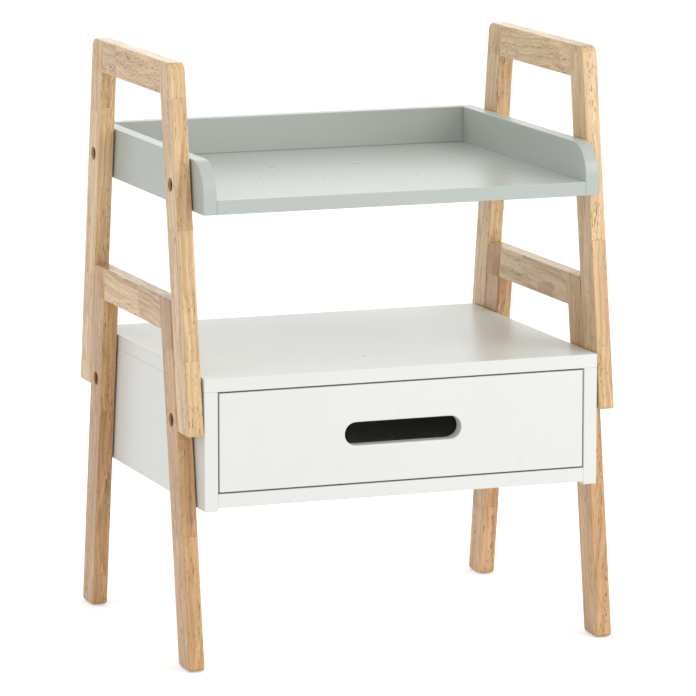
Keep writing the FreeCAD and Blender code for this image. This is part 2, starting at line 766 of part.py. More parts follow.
def make_tray(doc):
    """Base, back and two sides, with the dowels, cams and screws between them."""
    parts = [make_tray_side(doc, name) for name in SIDES]
    base_corner = (f"-{TRAY_INNER}", f"-{CABINET_FRONT}", TRAY_UNDERSIDE)
    base_size = (f"2 * {TRAY_INNER}", f"{CABINET_FRONT} + {TRAY_REAR}", "tray_board")
    base = board(doc, "tray_base", base_corner, base_size)
    back_corner = (f"-{TRAY_INNER}", f"{TRAY_REAR} - tray_board", TRAY_FLOOR)
    back_size = (f"2 * {TRAY_INNER}", "tray_board", "tray_depth - tray_board")
    back = board(doc, "tray_back", back_corner, back_size)

    dowels = []
    cams = []
    for side in SIDES.values():
        axis, cam_points, dowel_points = tray_joints(side)
        for at in cam_points:
            drill_cam_seat(base, base_corner, at, axis, "-Z", "tray_board")
            cams.append((at, axis, "-Z", "tray_board"))
        for at in dowel_points:
            drill_dowel(base, base_corner, at, axis)
            dowels.append((at, axis))
        drill_dowel(back, back_corner, tray_back_dowel(side), axis)
        dowels.append((tray_back_dowel(side), axis))
    screws = []
    for at in tray_screw_points():
        drill_screw(base, base_corner, at, "+Z", "tray_screw_length")
        drill(back, back_corner, at, "+Z", "screw_radius", "tray_screw_length")
        screws.append((at, "+Z"))
    parts += [base, back]
    parts.append(make_dowels(doc, "tray_dowels", dowels))
    parts.append(make_cam_bolts(doc, "tray_cam_bolts", cams))
    parts.append(make_cam_discs(doc, "tray_cam_discs", cams))
    parts.append(make_screws(doc, "tray_back_screws", screws, "tray_screw_length"))
    return parts


# ---------------------------------------------------------------- cabinet

BACK_LOW = (
    f"-{CABINET_INNER} - rebate_width",
    f"{CABINET_REAR} - back_thickness",
    f"{CABINET_FLOOR} - rebate_width",
)
BACK_SIZE = (
    f"2 * ({CABINET_INNER} + rebate_width)",
    "back_thickness",
    f"{CABINET_CEILING} - {CABINET_FLOOR} + 2 * rebate_width",
)


def cut_rebate(body, corner):
    """The rebate that the cabinet back sits in, wherever it reaches into a board."""
    carve(body, corner, BACK_LOW, (BACK_SIZE[0], "back_thickness + cut_past", BACK_SIZE[2]))


def cabinet_edge_points(height, across, inset):
    """Points near the front and the rear of the cabinet, at one inset from both edges."""
    return [
        (across, f"-{CABINET_FRONT} + {inset}", height),
        (across, f"{CABINET_REAR} - {inset}", height),
    ]


def top_joints(side, inset):
    """Points on the joint between the cabinet top and one side."""
    across = f"{side} * ({PANEL_OUTER} - cabinet_board / 2)"
    return cabinet_edge_points(CABINET_CEILING, across, inset)


def bottom_joints(side, inset):
    """Points on the joint between one side and the cabinet bottom."""
    return cabinet_edge_points(f"{CABINET_BASE} + cabinet_board / 2", f"{side} * {CABINET_INNER}", inset)


def back_screw_points():
    """Heads of the screws round the cabinet back."""
    points = []
    edge = f"({CABINET_INNER} + rebate_width / 2)"
    low = f"({CABINET_FLOOR} - rebate_width / 2)"
    high = f"({CABINET_CEILING} + rebate_width / 2)"
    for side in SIDES.values():
        points.append((f"{side} * {edge}", CABINET_REAR, f"({low} + {high}) / 2"))
        for height in (low, high):
            points.append((f"{side} * ({CABINET_INNER} - back_screw_inset)", CABINET_REAR, height))
    for height in (low, high):
        points.append(("0", CABINET_REAR, height))
    return points


def rail_screw_levels():
    """Front-to-rear places of the screws through each slide."""
    return [
        f"{SLIDE_FRONT} + rail_screw_inset",
        f"{SLIDE_FRONT} + slide_length / 2",
        f"{SLIDE_REAR} - rail_screw_inset",
    ]


def cabinet_rail_screws(side):
    """Screws that hold a cabinet rail, started on the inner face of its web."""
    across = f"{side} * ({CABINET_INNER} - rail_steel - screw_head_height)"
    return [((across, level, SLIDE_HEIGHT), flip(inwards(side))) for level in rail_screw_levels()]


def drawer_rail_screws(side):
    """Screws that hold a drawer rail, started on the inner face of its web."""
    across = f"{side} * ({DRAWER_OUTER} + rail_steel + screw_head_height)"
    return [((across, level, SLIDE_HEIGHT), inwards(side)) for level in rail_screw_levels()]


def make_cabinet_side(doc, side_name):
    """A cabinet side with every hole that meets it."""
    side = SIDES[side_name]
    axis = inwards(side)
    low = f"-{PANEL_OUTER}" if side < 0 else CABINET_INNER
    corner = (low, f"-{CABINET_FRONT}", CABINET_FOOT)
    size = ("cabinet_board", CABINET_DEPTH, f"{CABINET_CEILING} - {CABINET_FOOT}")
    body = board(doc, f"cabinet_{side_name}_side", corner, size)
    cut_rebate(body, corner)
    for at in top_joints(side, "cam_inset"):
        drill_cam_seat(body, corner, at, "-Z", axis, "cabinet_board")
    for at in top_joints(side, "dowel_inset"):
        drill_dowel(body, corner, at, "-Z")
    for at in bottom_joints(side, "cam_inset"):
        drill_cam_anchor(body, corner, at, axis)
    for at in bottom_joints(side, "dowel_inset"):
        drill_dowel(body, corner, at, axis)
    for end in ENDS.values():
        face = along(leg_bolt_point("lower", side, end), axis, "leg_thickness + panel_gap")
        drill(body, corner, face, axis, "insert_radius", "insert_length + insert_room")
        outer = along(stack_point(side, end), axis, "panel_gap")
        drill(body, corner, outer, axis, BOLT_HOLE, "cabinet_board")
        inner = along(outer, axis, "cabinet_board")
        drill(body, corner, inner, flip(axis), "inner_recess_radius", "inner_recess_depth")
    for at, run in cabinet_rail_screws(side):
        drill(body, corner, at, run, "screw_radius", "rail_screw_length")
    for at in back_screw_points():
        drill(body, corner, at, "-Y", "screw_radius", "back_screw_length")
    return body


def make_cabinet(doc):
    """Top, bottom, back and two sides, with the dowels, cams and screws between them."""
    parts = [make_cabinet_side(doc, name) for name in SIDES]
    top_corner = (f"-{PANEL_OUTER}", f"-{CABINET_FRONT}", CABINET_CEILING)
    top_size = (f"2 * {PANEL_OUTER}", CABINET_DEPTH, "cabinet_board")
    top = board(doc, "cabinet_top", top_corner, top_size)
    bottom_corner = (f"-{CABINET_INNER}", f"-{CABINET_FRONT}", CABINET_BASE)
    bottom_size = (f"2 * {CABINET_INNER}", CABINET_DEPTH, "cabinet_board")
    bottom = board(doc, "cabinet_bottom", bottom_corner, bottom_size)
    cut_rebate(top, top_corner)
    cut_rebate(bottom, bottom_corner)

    back_corner = (
        f"{BACK_LOW[0]} + rebate_clearance",
        BACK_LOW[1],
        f"{BACK_LOW[2]} + rebate_clearance",
    )
    back_size = (
        f"{BACK_SIZE[0]} - 2 * rebate_clearance",
        BACK_SIZE[1],
        f"{BACK_SIZE[2]} - 2 * rebate_clearance",
    )
    back = board(doc, "cabinet_back", back_corner, back_size)

    dowels = []
    cams = []
    for side in SIDES.values():
        axis = inwards(side)
        for at in top_joints(side, "cam_inset"):
            drill_cam_anchor(top, top_corner, at, "-Z")
            cams.append((at, "-Z", axis, "cabinet_board"))
        for at in top_joints(side, "dowel_inset"):
            drill_dowel(top, top_corner, at, "-Z")
            dowels.append((at, "-Z"))
        for at in bottom_joints(side, "cam_inset"):
            drill_cam_seat(bottom, bottom_corner, at, axis, "-Z", "cabinet_board")
            cams.append((at, axis, "-Z", "cabinet_board"))
        for at in bottom_joints(side, "dowel_inset"):
            drill_dowel(bottom, bottom_corner, at, axis)
            dowels.append((at, axis))
    for at in back_screw_points():
        drill_screw(back, back_corner, at, "-Y", "back_screw_length")
        drill(top, top_corner, at, "-Y", "screw_radius", "back_screw_length")
        drill(bottom, bottom_corner, at, "-Y", "screw_radius", "back_screw_length")
    parts += [top, bottom, back]
    parts.append(make_dowels(doc, "cabinet_dowels", dowels))
    parts.append(make_cam_bolts(doc, "cabinet_cam_bolts", cams))
    parts.append(make_cam_discs(doc, "cabinet_cam_discs", cams))
    screws = [(at, "-Y") for at in back_screw_points()]
    parts.append(make_screws(doc, "cabinet_back_screws", screws, "back_screw_length"))
    return parts


# ---------------------------------------------------------------- drawer

def front_joints(side):
    """The cam and the dowels between the drawer front and one drawer side."""
    across = f"{side} * ({DRAWER_OUTER} - drawer_board / 2)"
    cam = (across, DRAWER_FACE, f"({GROOVE_TOP} + {DRAWER_TOP}) / 2")
    low = (across, DRAWER_FACE, f"{GROOVE_TOP} + thin_dowel_margin")
    high = (across, DRAWER_FACE, f"{DRAWER_TOP} - thin_dowel_margin")
    return cam, [low, high]


def back_joints(side):
    """The dowels between one drawer side and the drawer back."""
    across = f"{side} * {DRAWER_INNER}"
    middle = f"{DRAWER_REAR} - drawer_board / 2"
    return [
        (across, middle, f"{GROOVE_TOP} + thin_dowel_margin"),
        (across, middle, f"{DRAWER_TOP} - thin_dowel_margin"),
    ]


def floor_screw_points():
    """Heads of the screws that hold the drawer floor up to the drawer back."""
    points = []
    for step in (-1, 0, 1):
        across = f"{step} * ({DRAWER_INNER} - floor_screw_inset)"
        points.append((across, f"{DRAWER_REAR} - drawer_board / 2", GROOVE_BASE))
    return points


def make_drawer_front(doc):
    """The drawer front with its rounded hand slot and the groove for the floor."""
    half = f"({CABINET_INNER} - drawer_gap)"
    corner = (f"-{half}", f"-{CABINET_FRONT}", DRAWER_FRONT_BASE)
    size = (f"2 * {half}", "drawer_front_board", DRAWER_FRONT_HEIGHT)
    body = board(doc, "drawer_front", corner, size)
    middle = f"{DRAWER_FRONT_BASE} + {DRAWER_FRONT_HEIGHT} / 2"
    straight = "(slot_length - slot_height)"
    carve(
        body,
        corner,
        (f"-{straight} / 2", f"-{CABINET_FRONT}", f"{middle} - slot_height / 2"),
        (straight, "drawer_front_board", "slot_height"),
    )
    for side in SIDES.values():
        at = (f"{side} * {straight} / 2", f"-{CABINET_FRONT}", middle)
        drill(body, corner, at, "+Y", "slot_height / 2", "drawer_front_board")
    doc.recompute()
    solid = body.Tip
    box = solid.Shape.BoundBox
    margin = 2 * doc.getObject("Size").board_edge_radius

    def is_slot_rim(edge):
        rim = edge.BoundBox
        on_face = rim.YMax < box.YMin + TOLERANCE or rim.YMin > box.YMax - TOLERANCE
        return on_face and rim.ZMin > box.ZMin + margin and rim.ZMax < box.ZMax - margin

    soften(body, solid, "slot_edge_radius", is_slot_rim)
    groove_low = (f"-{DRAWER_INNER} - groove_depth", f"{DRAWER_FACE} - groove_depth", GROOVE_BASE)
    carve(body, corner, groove_low, (f"2 * ({DRAWER_INNER} + groove_depth)", "groove_depth", GROOVE_HEIGHT))
    for side in SIDES.values():
        cam, dowels = front_joints(side)
        drill_cam_anchor(body, corner, cam, "+Y")
        for at in dowels:
            drill_dowel(body, corner, at, "+Y", THIN_DOWEL)
    return body


def make_drawer_side(doc, side_name):
    """A drawer side with its groove, joint holes and slide screws' holes."""
    side = SIDES[side_name]
    axis = inwards(side)
    low = f"-{DRAWER_OUTER}" if side < 0 else DRAWER_INNER
    corner = (low, DRAWER_FACE, DRAWER_BASE)
    size = ("drawer_board", DRAWER_LENGTH, f"{DRAWER_TOP} - {DRAWER_BASE}")
    body = board(doc, f"drawer_{side_name}_side", corner, size)
    start = f"-{DRAWER_INNER} - groove_depth" if side < 0 else DRAWER_INNER
    carve(body, corner, (start, DRAWER_FACE, GROOVE_BASE), ("groove_depth", DRAWER_LENGTH, GROOVE_HEIGHT))
    cam, dowels = front_joints(side)
    drill_cam_seat(body, corner, cam, "+Y", axis, "drawer_board")
    for at in dowels:
        drill_dowel(body, corner, at, "+Y", THIN_DOWEL)
    for at in back_joints(side):
        drill_dowel(body, corner, at, axis, THIN_DOWEL)
    for at, run in drawer_rail_screws(side):
        drill(body, corner, at, run, "screw_radius", "rail_screw_length")
    return body


def make_drawer(doc):
    """Front, sides, back and floor, with the dowels, cams and screws between them."""
    parts = [make_drawer_front(doc)]
    parts += [make_drawer_side(doc, name) for name in SIDES]
    back_corner = (f"-{DRAWER_INNER}", f"{DRAWER_REAR} - drawer_board", GROOVE_TOP)
    back_size = (f"2 * {DRAWER_INNER}", "drawer_board", f"{DRAWER_TOP} - {GROOVE_TOP}")
    back = board(doc, "drawer_back", back_corner, back_size)
    reach = "(groove_depth - groove_clearance)"
    floor_corner = (f"-{DRAWER_INNER} - {reach}", f"{DRAWER_FACE} - {reach}", GROOVE_BASE)
    floor_size = (
        f"2 * ({DRAWER_INNER} + {reach})",
        f"{DRAWER_LENGTH} + {reach}",
        "drawer_floor_thickness",
    )
    floor = board(doc, "drawer_floor", floor_corner, floor_size)

    dowels = []
    cams = []
    for side in SIDES.values():
        axis = inwards(side)
        cam, front_points = front_joints(side)
        cams.append((cam, "+Y", axis, "drawer_board"))
        for at in front_points:
            dowels.append((at, "+Y"))
        for at in back_joints(side):
            drill_dowel(back, back_corner, at, axis, THIN_DOWEL)
            dowels.append((at, axis))
    for at in floor_screw_points():
        drill_screw(floor, floor_corner, at, "+Z", "floor_screw_length")
        drill(back, back_corner, at, "+Z", "screw_radius", "floor_screw_length")
    parts += [back, floor]
    parts.append(make_dowels(doc, "drawer_dowels", dowels, THIN_DOWEL))
    parts.append(make_cam_bolts(doc, "drawer_cam_bolts", cams))
    parts.append(make_cam_discs(doc, "drawer_cam_discs", cams))
    screws = [(at, "+Z") for at in floor_screw_points()]
    parts.append(make_screws(doc, "drawer_floor_screws", screws, "floor_screw_length"))
    return parts


# ---------------------------------------------------------------- slides

# Each rail is a channel: where its web starts and its edges end, measured from the middle
# of the slide space towards the drawer, and half its height.
RAILS = {
    "cabinet": (
        "-slide_space / 2",
        "slide_space / 2 - rail_side_gap",
        "rail_height / 2",
    ),
    "middle": (
        "-slide_space / 2 + rail_steel + rail_web_gap",
        "slide_space / 2 - rail_steel - rail_tip_gap",
        "(rail_height / 2 - rail_steel - race_gap)",
    ),
    "drawer": (
        "slide_space / 2",
        "-slide_space / 2 + 2 * rail_steel + rail_web_gap + rail_edge_gap",
        "(rail_height / 2 - 2 * rail_steel - 2 * race_gap)",
    ),
}


def make_rail(doc, kind, side_name):
    """One rolled-steel rail of a slide, a channel along the table's depth."""
    side = SIDES[side_name]
    web, tip, half = RAILS[kind]
    inner_web = f"{web} - rail_steel" if kind == "drawer" else f"{web} + rail_steel"
    profile = [
        (web, f"-{half}"),
        (tip, f"-{half}"),
        (tip, f"-{half} + rail_steel"),
        (inner_web, f"-{half} + rail_steel"),
        (inner_web, f"{half} - rail_steel"),
        (tip, f"{half} - rail_steel"),
        (tip, half),
        (web, half),
    ]
    corner = (f"{side} * {SLIDE_MIDDLE}", SLIDE_REAR, SLIDE_HEIGHT)
    body = new_body(doc, f"{kind}_rail_{side_name}", corner)
    corners = [(f"{-side} * ({across})", upwards) for across, upwards in profile]
    pad(body, outline(body, "XZ_Plane", corners), "slide_length")
    if kind == "cabinet":
        screws = cabinet_rail_screws(side)
    elif kind == "drawer":
        screws = drawer_rail_screws(side)
    else:
        screws = []
    for at, run in screws:
        drill(body, corner, at, run, "screw_radius", "rail_screw_length")
    return body


# The rows of balls: the two channel edges that a row lies between, and half the height of
# the rail whose folded edge is outside it.
BALL_ROWS = {
    "outer_balls": (RAILS["middle"][0], RAILS["cabinet"][1], RAILS["cabinet"][2]),
    "inner_balls": (RAILS["drawer"][1], RAILS["middle"][1], RAILS["middle"][2]),
}


def make_ball_cage(doc, sheet, name, side_name):
    """Two rows of balls between two rails, each row kept apart by a drilled strip."""
    side = SIDES[side_name]
    near, far, half = BALL_ROWS[name]
    across = f"{side} * {SLIDE_MIDDLE} + {-side} * ({near} + {far}) / 2"
    middle = f"({SLIDE_FRONT} + slide_length / 2)"
    width = f"({far} - ({near}) - 2 * rail_tip_gap)"
    length = "(slide_length - slide_travel / 2 - ball_pitch / 2)"
    count = int((sheet.slide_length - sheet.slide_travel / 2) // sheet.ball_pitch)
    solids = []
    for updown in (-1, 1):
        height = f"{SLIDE_HEIGHT} + {updown} * ({half} - rail_steel - race_gap / 2)"
        strip = doc.addObject("Part::Box", name + "_strip")
        bind(strip, Length=width, Width=length, Height="cage_strip")
        low = (f"{across} - {width} / 2", f"{middle} - {length} / 2", f"{height} - cage_strip / 2")
        place(strip, low)
        holes = []
        for index in range(count):
            spot = (across, f"{middle} + {index - (count - 1) / 2} * ball_pitch", height)
            hole = cylinder(doc, name + "_hole", "race_gap / 2", "2 * cage_strip")
            place(hole, along(spot, "+Z", "-cage_strip"))
            holes.append(hole)
            ball = doc.addObject("Part::Sphere", name + "_ball")
            bind(ball, Radius="race_gap / 2 - ball_clearance")
            place(ball, spot)
            solids.append(ball)
        solids.append(minus(doc, name + "_cage", strip, joined(doc, name + "_holes", holes)))
    return group(doc, f"{name}_{side_name}", solids)


def make_slides(doc, sheet):
    """Both full-extension slides, with their screws."""
    parts = []
    for side_name in SIDES:
        for kind in RAILS:
            parts.append(make_rail(doc, kind, side_name))
        for name in BALL_ROWS:
            parts.append(make_ball_cage(doc, sheet, name, side_name))
    fixed = [screw for side in SIDES.values() for screw in cabinet_rail_screws(side)]
    moving = [screw for side in SIDES.values() for screw in drawer_rail_screws(side)]
    parts.append(make_screws(doc, "cabinet_rail_screws", fixed, "rail_screw_length"))
    parts.append(make_screws(doc, "drawer_rail_screws", moving, "rail_screw_length"))
    return parts


# ---------------------------------------------------------------- the whole table

def check(doc, parts):
    """Stop if anything failed to build."""
    for obj in doc.Objects:
        if "Invalid" in obj.State or "Error" in obj.State:
            raise RuntimeError(f"{obj.Label} did not build: {obj.State}")
    for part in parts:
        if part.Shape.isNull() or not part.Shape.isValid() or not part.Shape.Solids:
            raise RuntimeError(f"{part.Label} has no valid solid")


def main():
    doc = FreeCAD.newDocument("changing_table")
    sheet = make_sheet(doc)
    parts = []
    for tier in TIERS:
        for side_name in SIDES:
            for end_name in ENDS:
                parts.append(make_leg(doc, tier, side_name, end_name))
            parts.append(make_crossbar(doc, tier, side_name))
    parts.append(make_frame_dowels(doc))
    parts.append(make_glides(doc))
    parts += make_frame_fasteners(doc)
    parts += make_tray(doc)
    parts += make_cabinet(doc)
    parts += make_drawer(doc)
    parts += make_slides(doc, sheet)
    doc.recompute()
    check(doc, parts)
    os.makedirs("parts", exist_ok=True)
    for part in parts:
        part.Shape.exportStep(os.path.join("parts", part.Label + ".step"))
        print(f"{part.Label}: {len(part.Shape.Solids)} solid(s), {part.Shape.Volume / 1000:.1f} cm3")
    print(len(parts), "nodes")


main()
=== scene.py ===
# %% [markdown]
# # A changing table, dressed in wood, lacquer and steel
#
# The table is a stack of two tiers. Splayed rubberwood frames stand at both ends, a white
# cabinet with one drawer hangs between the low frames, and a sage tray hangs between the
# high ones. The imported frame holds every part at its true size, in metres, so this lesson
# only shapes what the eye catches and mixes the finishes.

# %% Load the frame
import json
import math

import bmesh
import bpy
from mathutils import Matrix, Vector


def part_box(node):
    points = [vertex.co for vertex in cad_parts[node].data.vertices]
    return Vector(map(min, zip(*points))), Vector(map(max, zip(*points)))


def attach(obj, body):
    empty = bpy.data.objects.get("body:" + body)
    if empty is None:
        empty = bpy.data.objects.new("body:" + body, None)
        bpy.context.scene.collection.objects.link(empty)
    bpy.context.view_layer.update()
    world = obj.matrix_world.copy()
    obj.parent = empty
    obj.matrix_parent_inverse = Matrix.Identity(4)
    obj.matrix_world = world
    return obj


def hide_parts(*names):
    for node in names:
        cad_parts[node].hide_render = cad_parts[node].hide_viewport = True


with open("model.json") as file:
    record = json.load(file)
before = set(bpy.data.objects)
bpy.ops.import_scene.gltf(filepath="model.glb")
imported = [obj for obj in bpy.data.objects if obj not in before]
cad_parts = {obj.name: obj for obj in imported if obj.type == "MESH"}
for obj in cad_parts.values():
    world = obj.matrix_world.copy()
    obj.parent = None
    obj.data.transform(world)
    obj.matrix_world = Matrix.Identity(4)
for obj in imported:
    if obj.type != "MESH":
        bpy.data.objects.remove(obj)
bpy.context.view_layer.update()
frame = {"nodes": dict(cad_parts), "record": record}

NODES = frame["nodes"]
print(len(NODES), "parts arrive with the frame")

# %% [markdown]
# ## Camera
#
# A long lens keeps furniture's uprights almost parallel, as in a catalogue. The camera
# stands well back, a little above the tray, and turned towards the table's left end. Its
# direction is written as two angles, because those are what a person would change: how far
# it is turned from straight ahead and how far it looks down.

# %% Place the camera
CAMERA_PLACE = Vector((-2.7206, -7.3795, 1.8076))
CAMERA_TURN = math.radians(20.3)
CAMERA_DOWN = math.radians(9.83)
SENSOR = 36.0
LENS = 256.7

camera_data = bpy.data.cameras.new("camera")
camera_data.sensor_width = SENSOR
camera_data.lens = LENS
camera = bpy.data.objects.new("camera", camera_data)
camera.location = CAMERA_PLACE
camera.rotation_euler = (math.pi / 2 - CAMERA_DOWN, 0, -CAMERA_TURN)
bpy.context.scene.collection.objects.link(camera)
bpy.context.scene.camera = camera
print("lens", LENS, "mm on a sensor of", SENSOR, "mm")

# %% [markdown]
# ## Floor and light
#
# A white studio is mostly one big soft source. A pale sheet of floor and a white world give
# the even wash. A large lamp at the front right adds just enough direction for the faces of
# a board to differ, and a second one behind the table catches the top edges and reaches the
# cabinet's top under the tray. The plain view transform keeps the whites white, where a
# film-like one would grey them.

# %% Lay the floor
FLOOR_REACH = 30


def make_floor():
    """A wide pale sheet under the feet."""
    bm = bmesh.new()
    bmesh.ops.create_grid(bm, x_segments=8, y_segments=8, size=FLOOR_REACH)
    mesh = bpy.data.meshes.new("floor")
    bm.to_mesh(mesh)
    bm.free()
    sheet = bpy.data.objects.new("floor", mesh)
    bpy.context.scene.collection.objects.link(sheet)
    return sheet


floor = make_floor()
print("the floor reaches", FLOOR_REACH, "m from the table")

# %% [markdown]
# ### Two lamps
#
# An area lamp's softness is its size seen from the table, so both are large and hang only
# a few metres away. Each one is turned by a track quaternion: a lamp shines along its own
# minus Z, and that axis is aimed at the middle of the table.

# %% Hang the lamps
TABLE_MIDDLE = (0, 0, 0.45)


def hang_lamp(name, place, target, size, power):
    """A square soft lamp that shines from a place towards a target."""
    data = bpy.data.lights.new(name, "AREA")
    data.shape = "SQUARE"
    data.size = size
    data.energy = power
    lamp = bpy.data.objects.new(name, data)
    lamp.location = place
    lamp.rotation_euler = (Vector(target) - Vector(place)).to_track_quat("-Z", "Y").to_euler()
    bpy.context.scene.collection.objects.link(lamp)


hang_lamp("key_lamp", (2.6, -3.4, 2.6), TABLE_MIDDLE, size=2.6, power=58)
hang_lamp("back_lamp", (0.6, 3.6, 2.4), TABLE_MIDDLE, size=2.6, power=16)

bpy.context.scene.view_settings.view_transform = "Standard"
print("two lamps hang round the table")

# %% [markdown]
# ## Wiring shaders by hand
#
# A node tree is easier to read as code when one call places a node, sets its options and
# plugs in its inputs. A socket is a link, and anything else is a plain value.

# %% Put a node in a tree
def plug(tree, node, inputs):
    """Fills or links a node's inputs, each by its name or its number."""
    for name, value in inputs.items():
        if isinstance(value, bpy.types.NodeSocket):
            tree.links.new(value, node.inputs[name])
        else:
            node.inputs[name].default_value = value


def put(tree, kind, inputs=None, **options):
    """A new node with its options set and its inputs filled or linked."""
    node = tree.nodes.new(kind)
    for name, value in options.items():
        setattr(node, name, value)
    plug(tree, node, inputs or {})
    return node


print("a socket is linked, and any other value is typed in")

# %% [markdown]
# ### Sums
#
# Arithmetic in a shader takes a node for each sum. These helpers keep a sum to one line of
# code, so that a formula still reads like one.

# %% Sums on numbers and vectors
def calc(tree, operation, *values):
    """The result of one sum on numbers."""
    return put(tree, "ShaderNodeMath", dict(enumerate(values)), operation=operation).outputs[0]


def move(tree, operation, *values):
    """The result of one sum on vectors."""
    node = put(tree, "ShaderNodeVectorMath", dict(enumerate(values)), operation=operation)
    return node.outputs[0]


def scaled(tree, vector, factor):
    """A vector made longer or shorter."""
    inputs = {"Vector": vector, "Scale": factor}
    return put(tree, "ShaderNodeVectorMath", inputs, operation="SCALE").outputs[0]


def weighed(tree, *pairs):
    """The sum of several values, each times its own weight."""
    total = 0.0
    for value, weight in pairs:
        total = calc(tree, "MULTIPLY_ADD", value, weight, total)
    return total


print("sums work on numbers, on vectors and on weighted lists")

# %% [markdown]
# ### Mixing and stretching
#
# A Mix node holds a set of sockets for every type of data at once, and only hides those that
# aren't in use. Their names repeat, so the ones for colours are reached by number. A Map
# Range node is simpler: its first five sockets are the value and the two ranges.

# %% Mix colours and stretch a range
MIX_FACTOR = 0
MIX_FIRST_COLOUR = 6
MIX_SECOND_COLOUR = 7
MIX_COLOUR_RESULT = 2


def mix_colours(tree, factor, first, second):
    """Two colours mixed by a factor."""
    inputs = {MIX_FACTOR: factor, MIX_FIRST_COLOUR: first, MIX_SECOND_COLOUR: second}
    return put(tree, "ShaderNodeMix", inputs, data_type="RGBA").outputs[MIX_COLOUR_RESULT]


def spread(tree, value, low, high, new_low=0.0, new_high=1.0):
    """A value stretched from one range to another and kept inside it."""
    inputs = dict(enumerate((value, low, high, new_low, new_high)))
    return put(tree, "ShaderNodeMapRange", inputs, clamp=True).outputs[0]


print("a colour mix comes out of socket", MIX_COLOUR_RESULT)

# %% [markdown]
# ### Noise and groups
#
# Noise that is drawn out along one axis turns into streaks, so its scale is a vector, which
# multiplies the point before the noise reads it. A group is a node tree with sockets of its
# own. All the finishes put out the same three things, a colour, a roughness and a height, so
# one list of sockets serves them.

# %% Noise and an empty group
def cloud(tree, vector, scale, detail=3.0, roughness=0.5):
    """Soft noise between 0 and 1, with its own scale along each axis."""
    inputs = {
        "Vector": move(tree, "MULTIPLY", vector, scale),
        "Scale": 1.0,
        "Detail": detail,
        "Roughness": roughness,
    }
    return put(tree, "ShaderNodeTexNoise", inputs).outputs[0]


def new_group(name, inputs, outputs):
    """An empty shader group, with its input and output nodes."""
    tree = bpy.data.node_groups.new(name, "ShaderNodeTree")
    for label, kind in inputs.items():
        tree.interface.new_socket(label, in_out="INPUT", socket_type="NodeSocket" + kind)
    for label, kind in outputs.items():
        tree.interface.new_socket(label, in_out="OUTPUT", socket_type="NodeSocket" + kind)
    return tree, tree.nodes.new("NodeGroupInput").outputs, tree.nodes.new("NodeGroupOutput").inputs


SKIN = {"Color": "Color", "Roughness": "Float", "Height": "Float"}
print("a finish gives", ", ".join(SKIN))

# %% [markdown]
# ## The white room
#
# The world is the light that comes from every side. The table gets a little less of it than
# the viewer sees: its faces then keep some shade, while the room behind it stays white. The
# light path says which of the two a ray is for.

# %% Light the room
WORLD_LIGHT = 0.86


def by_camera(tree, for_camera, for_light):
    """One colour for what the camera sees and another for what lights the table."""
    seen = put(tree, "ShaderNodeLightPath").outputs["Is Camera Ray"]
    return mix_colours(tree, seen, for_light, for_camera)


def grey(level):
    """A neutral colour of that brightness."""
    return (level, level, level, 1.0)


world = bpy.data.worlds.new("studio")
bpy.context.scene.world = world
world.use_nodes = True
room = world.node_tree
room_light = by_camera(room, grey(1.0), grey(WORLD_LIGHT))
room.links.new(room_light, room.nodes["Background"].inputs["Color"])
print("the world lights the table with", WORLD_LIGHT)

# %% [markdown]
# ## Rubberwood
#
# The frames are finger-jointed rubberwood: short staves glued end to end, each cut from
# another part of a plank, so tone and figure change at every joint. Inside a stave the wood
# shows three things. Faint growth rings run along it, tonal streaks drift through them, and
# short dark vessels are cut open as dashes. The texture is solid, a function of a point
# inside the bar, so the same pores turn into dots on the end grain.
#
# Two attributes on each bar drive it. `timber` is a point in the bar's own directions, with
# Z along the grain, and `stave` counts the staves along it, so that its whole numbers are
# the joints. A zigzag added to `stave` cuts the fingers, which show on the wide faces and
# end in a straight line on the narrow ones.

# %% Cut the staves
FINGER_PITCH = 0.0042
FINGER_REACH = 0.04
GLUE_LINE = 0.003


def cut_staves(tree, timber, stave):
    """Random numbers for every stave, and a mask of the glue lines between them."""
    across = put(tree, "ShaderNodeSeparateXYZ", {0: timber}).outputs["Y"]
    zigzag = calc(tree, "PINGPONG", across, FINGER_PITCH / 2)
    count = calc(tree, "MULTIPLY_ADD", zigzag, FINGER_REACH * 2 / FINGER_PITCH, stave)
    number = calc(tree, "FLOOR", count)
    chance = put(tree, "ShaderNodeTexWhiteNoise", {"W": number}, noise_dimensions="1D").outputs
    to_joint = calc(tree, "PINGPONG", count, 0.5)
    return chance, spread(tree, to_joint, 0.0, GLUE_LINE, 1.0, 0.0)


print("fingers are", FINGER_PITCH * 1000, "mm apart")

# %% [markdown]
# ### The run of the grain
#
# Each stave comes from another place in the tree, so its share of the texture is moved by a
# random step and tilted a little. A slow noise then bends it, because no grain is straight.

# %% Lean and bend the grain
STAVE_STEP = 0.35
STAVE_LEAN = (0.11, 0.11, 0.0)
SWAY_SCALE = (15.0, 15.0, 5.5)
GRAIN_SWAY = 0.03


def centred(tree, noise):
    """Noise from 0 to 1 moved so that it lies round zero."""
    return move(tree, "SUBTRACT", noise, (0.5, 0.5, 0.5))


def lean_grain(tree, timber, chance):
    """The point inside the bar, moved and tilted anew in every stave."""
    along = put(tree, "ShaderNodeSeparateXYZ", {0: timber}).outputs["Z"]
    lean = move(tree, "MULTIPLY", centred(tree, chance["Color"]), STAVE_LEAN)
    grain = move(tree, "ADD", timber, scaled(tree, chance["Color"], STAVE_STEP))
    return move(tree, "ADD", grain, scaled(tree, lean, along))


def bend_grain(tree, grain):
    """The grain drawn into slow waves."""
    slow = move(tree, "MULTIPLY", grain, SWAY_SCALE)
    sway = put(tree, "ShaderNodeTexNoise", {"Vector": slow, "Scale": 1.0}).outputs["Color"]
    return move(tree, "ADD", grain, scaled(tree, centred(tree, sway), GRAIN_SWAY))


print("the grain sways by up to", GRAIN_SWAY * 500, "mm")

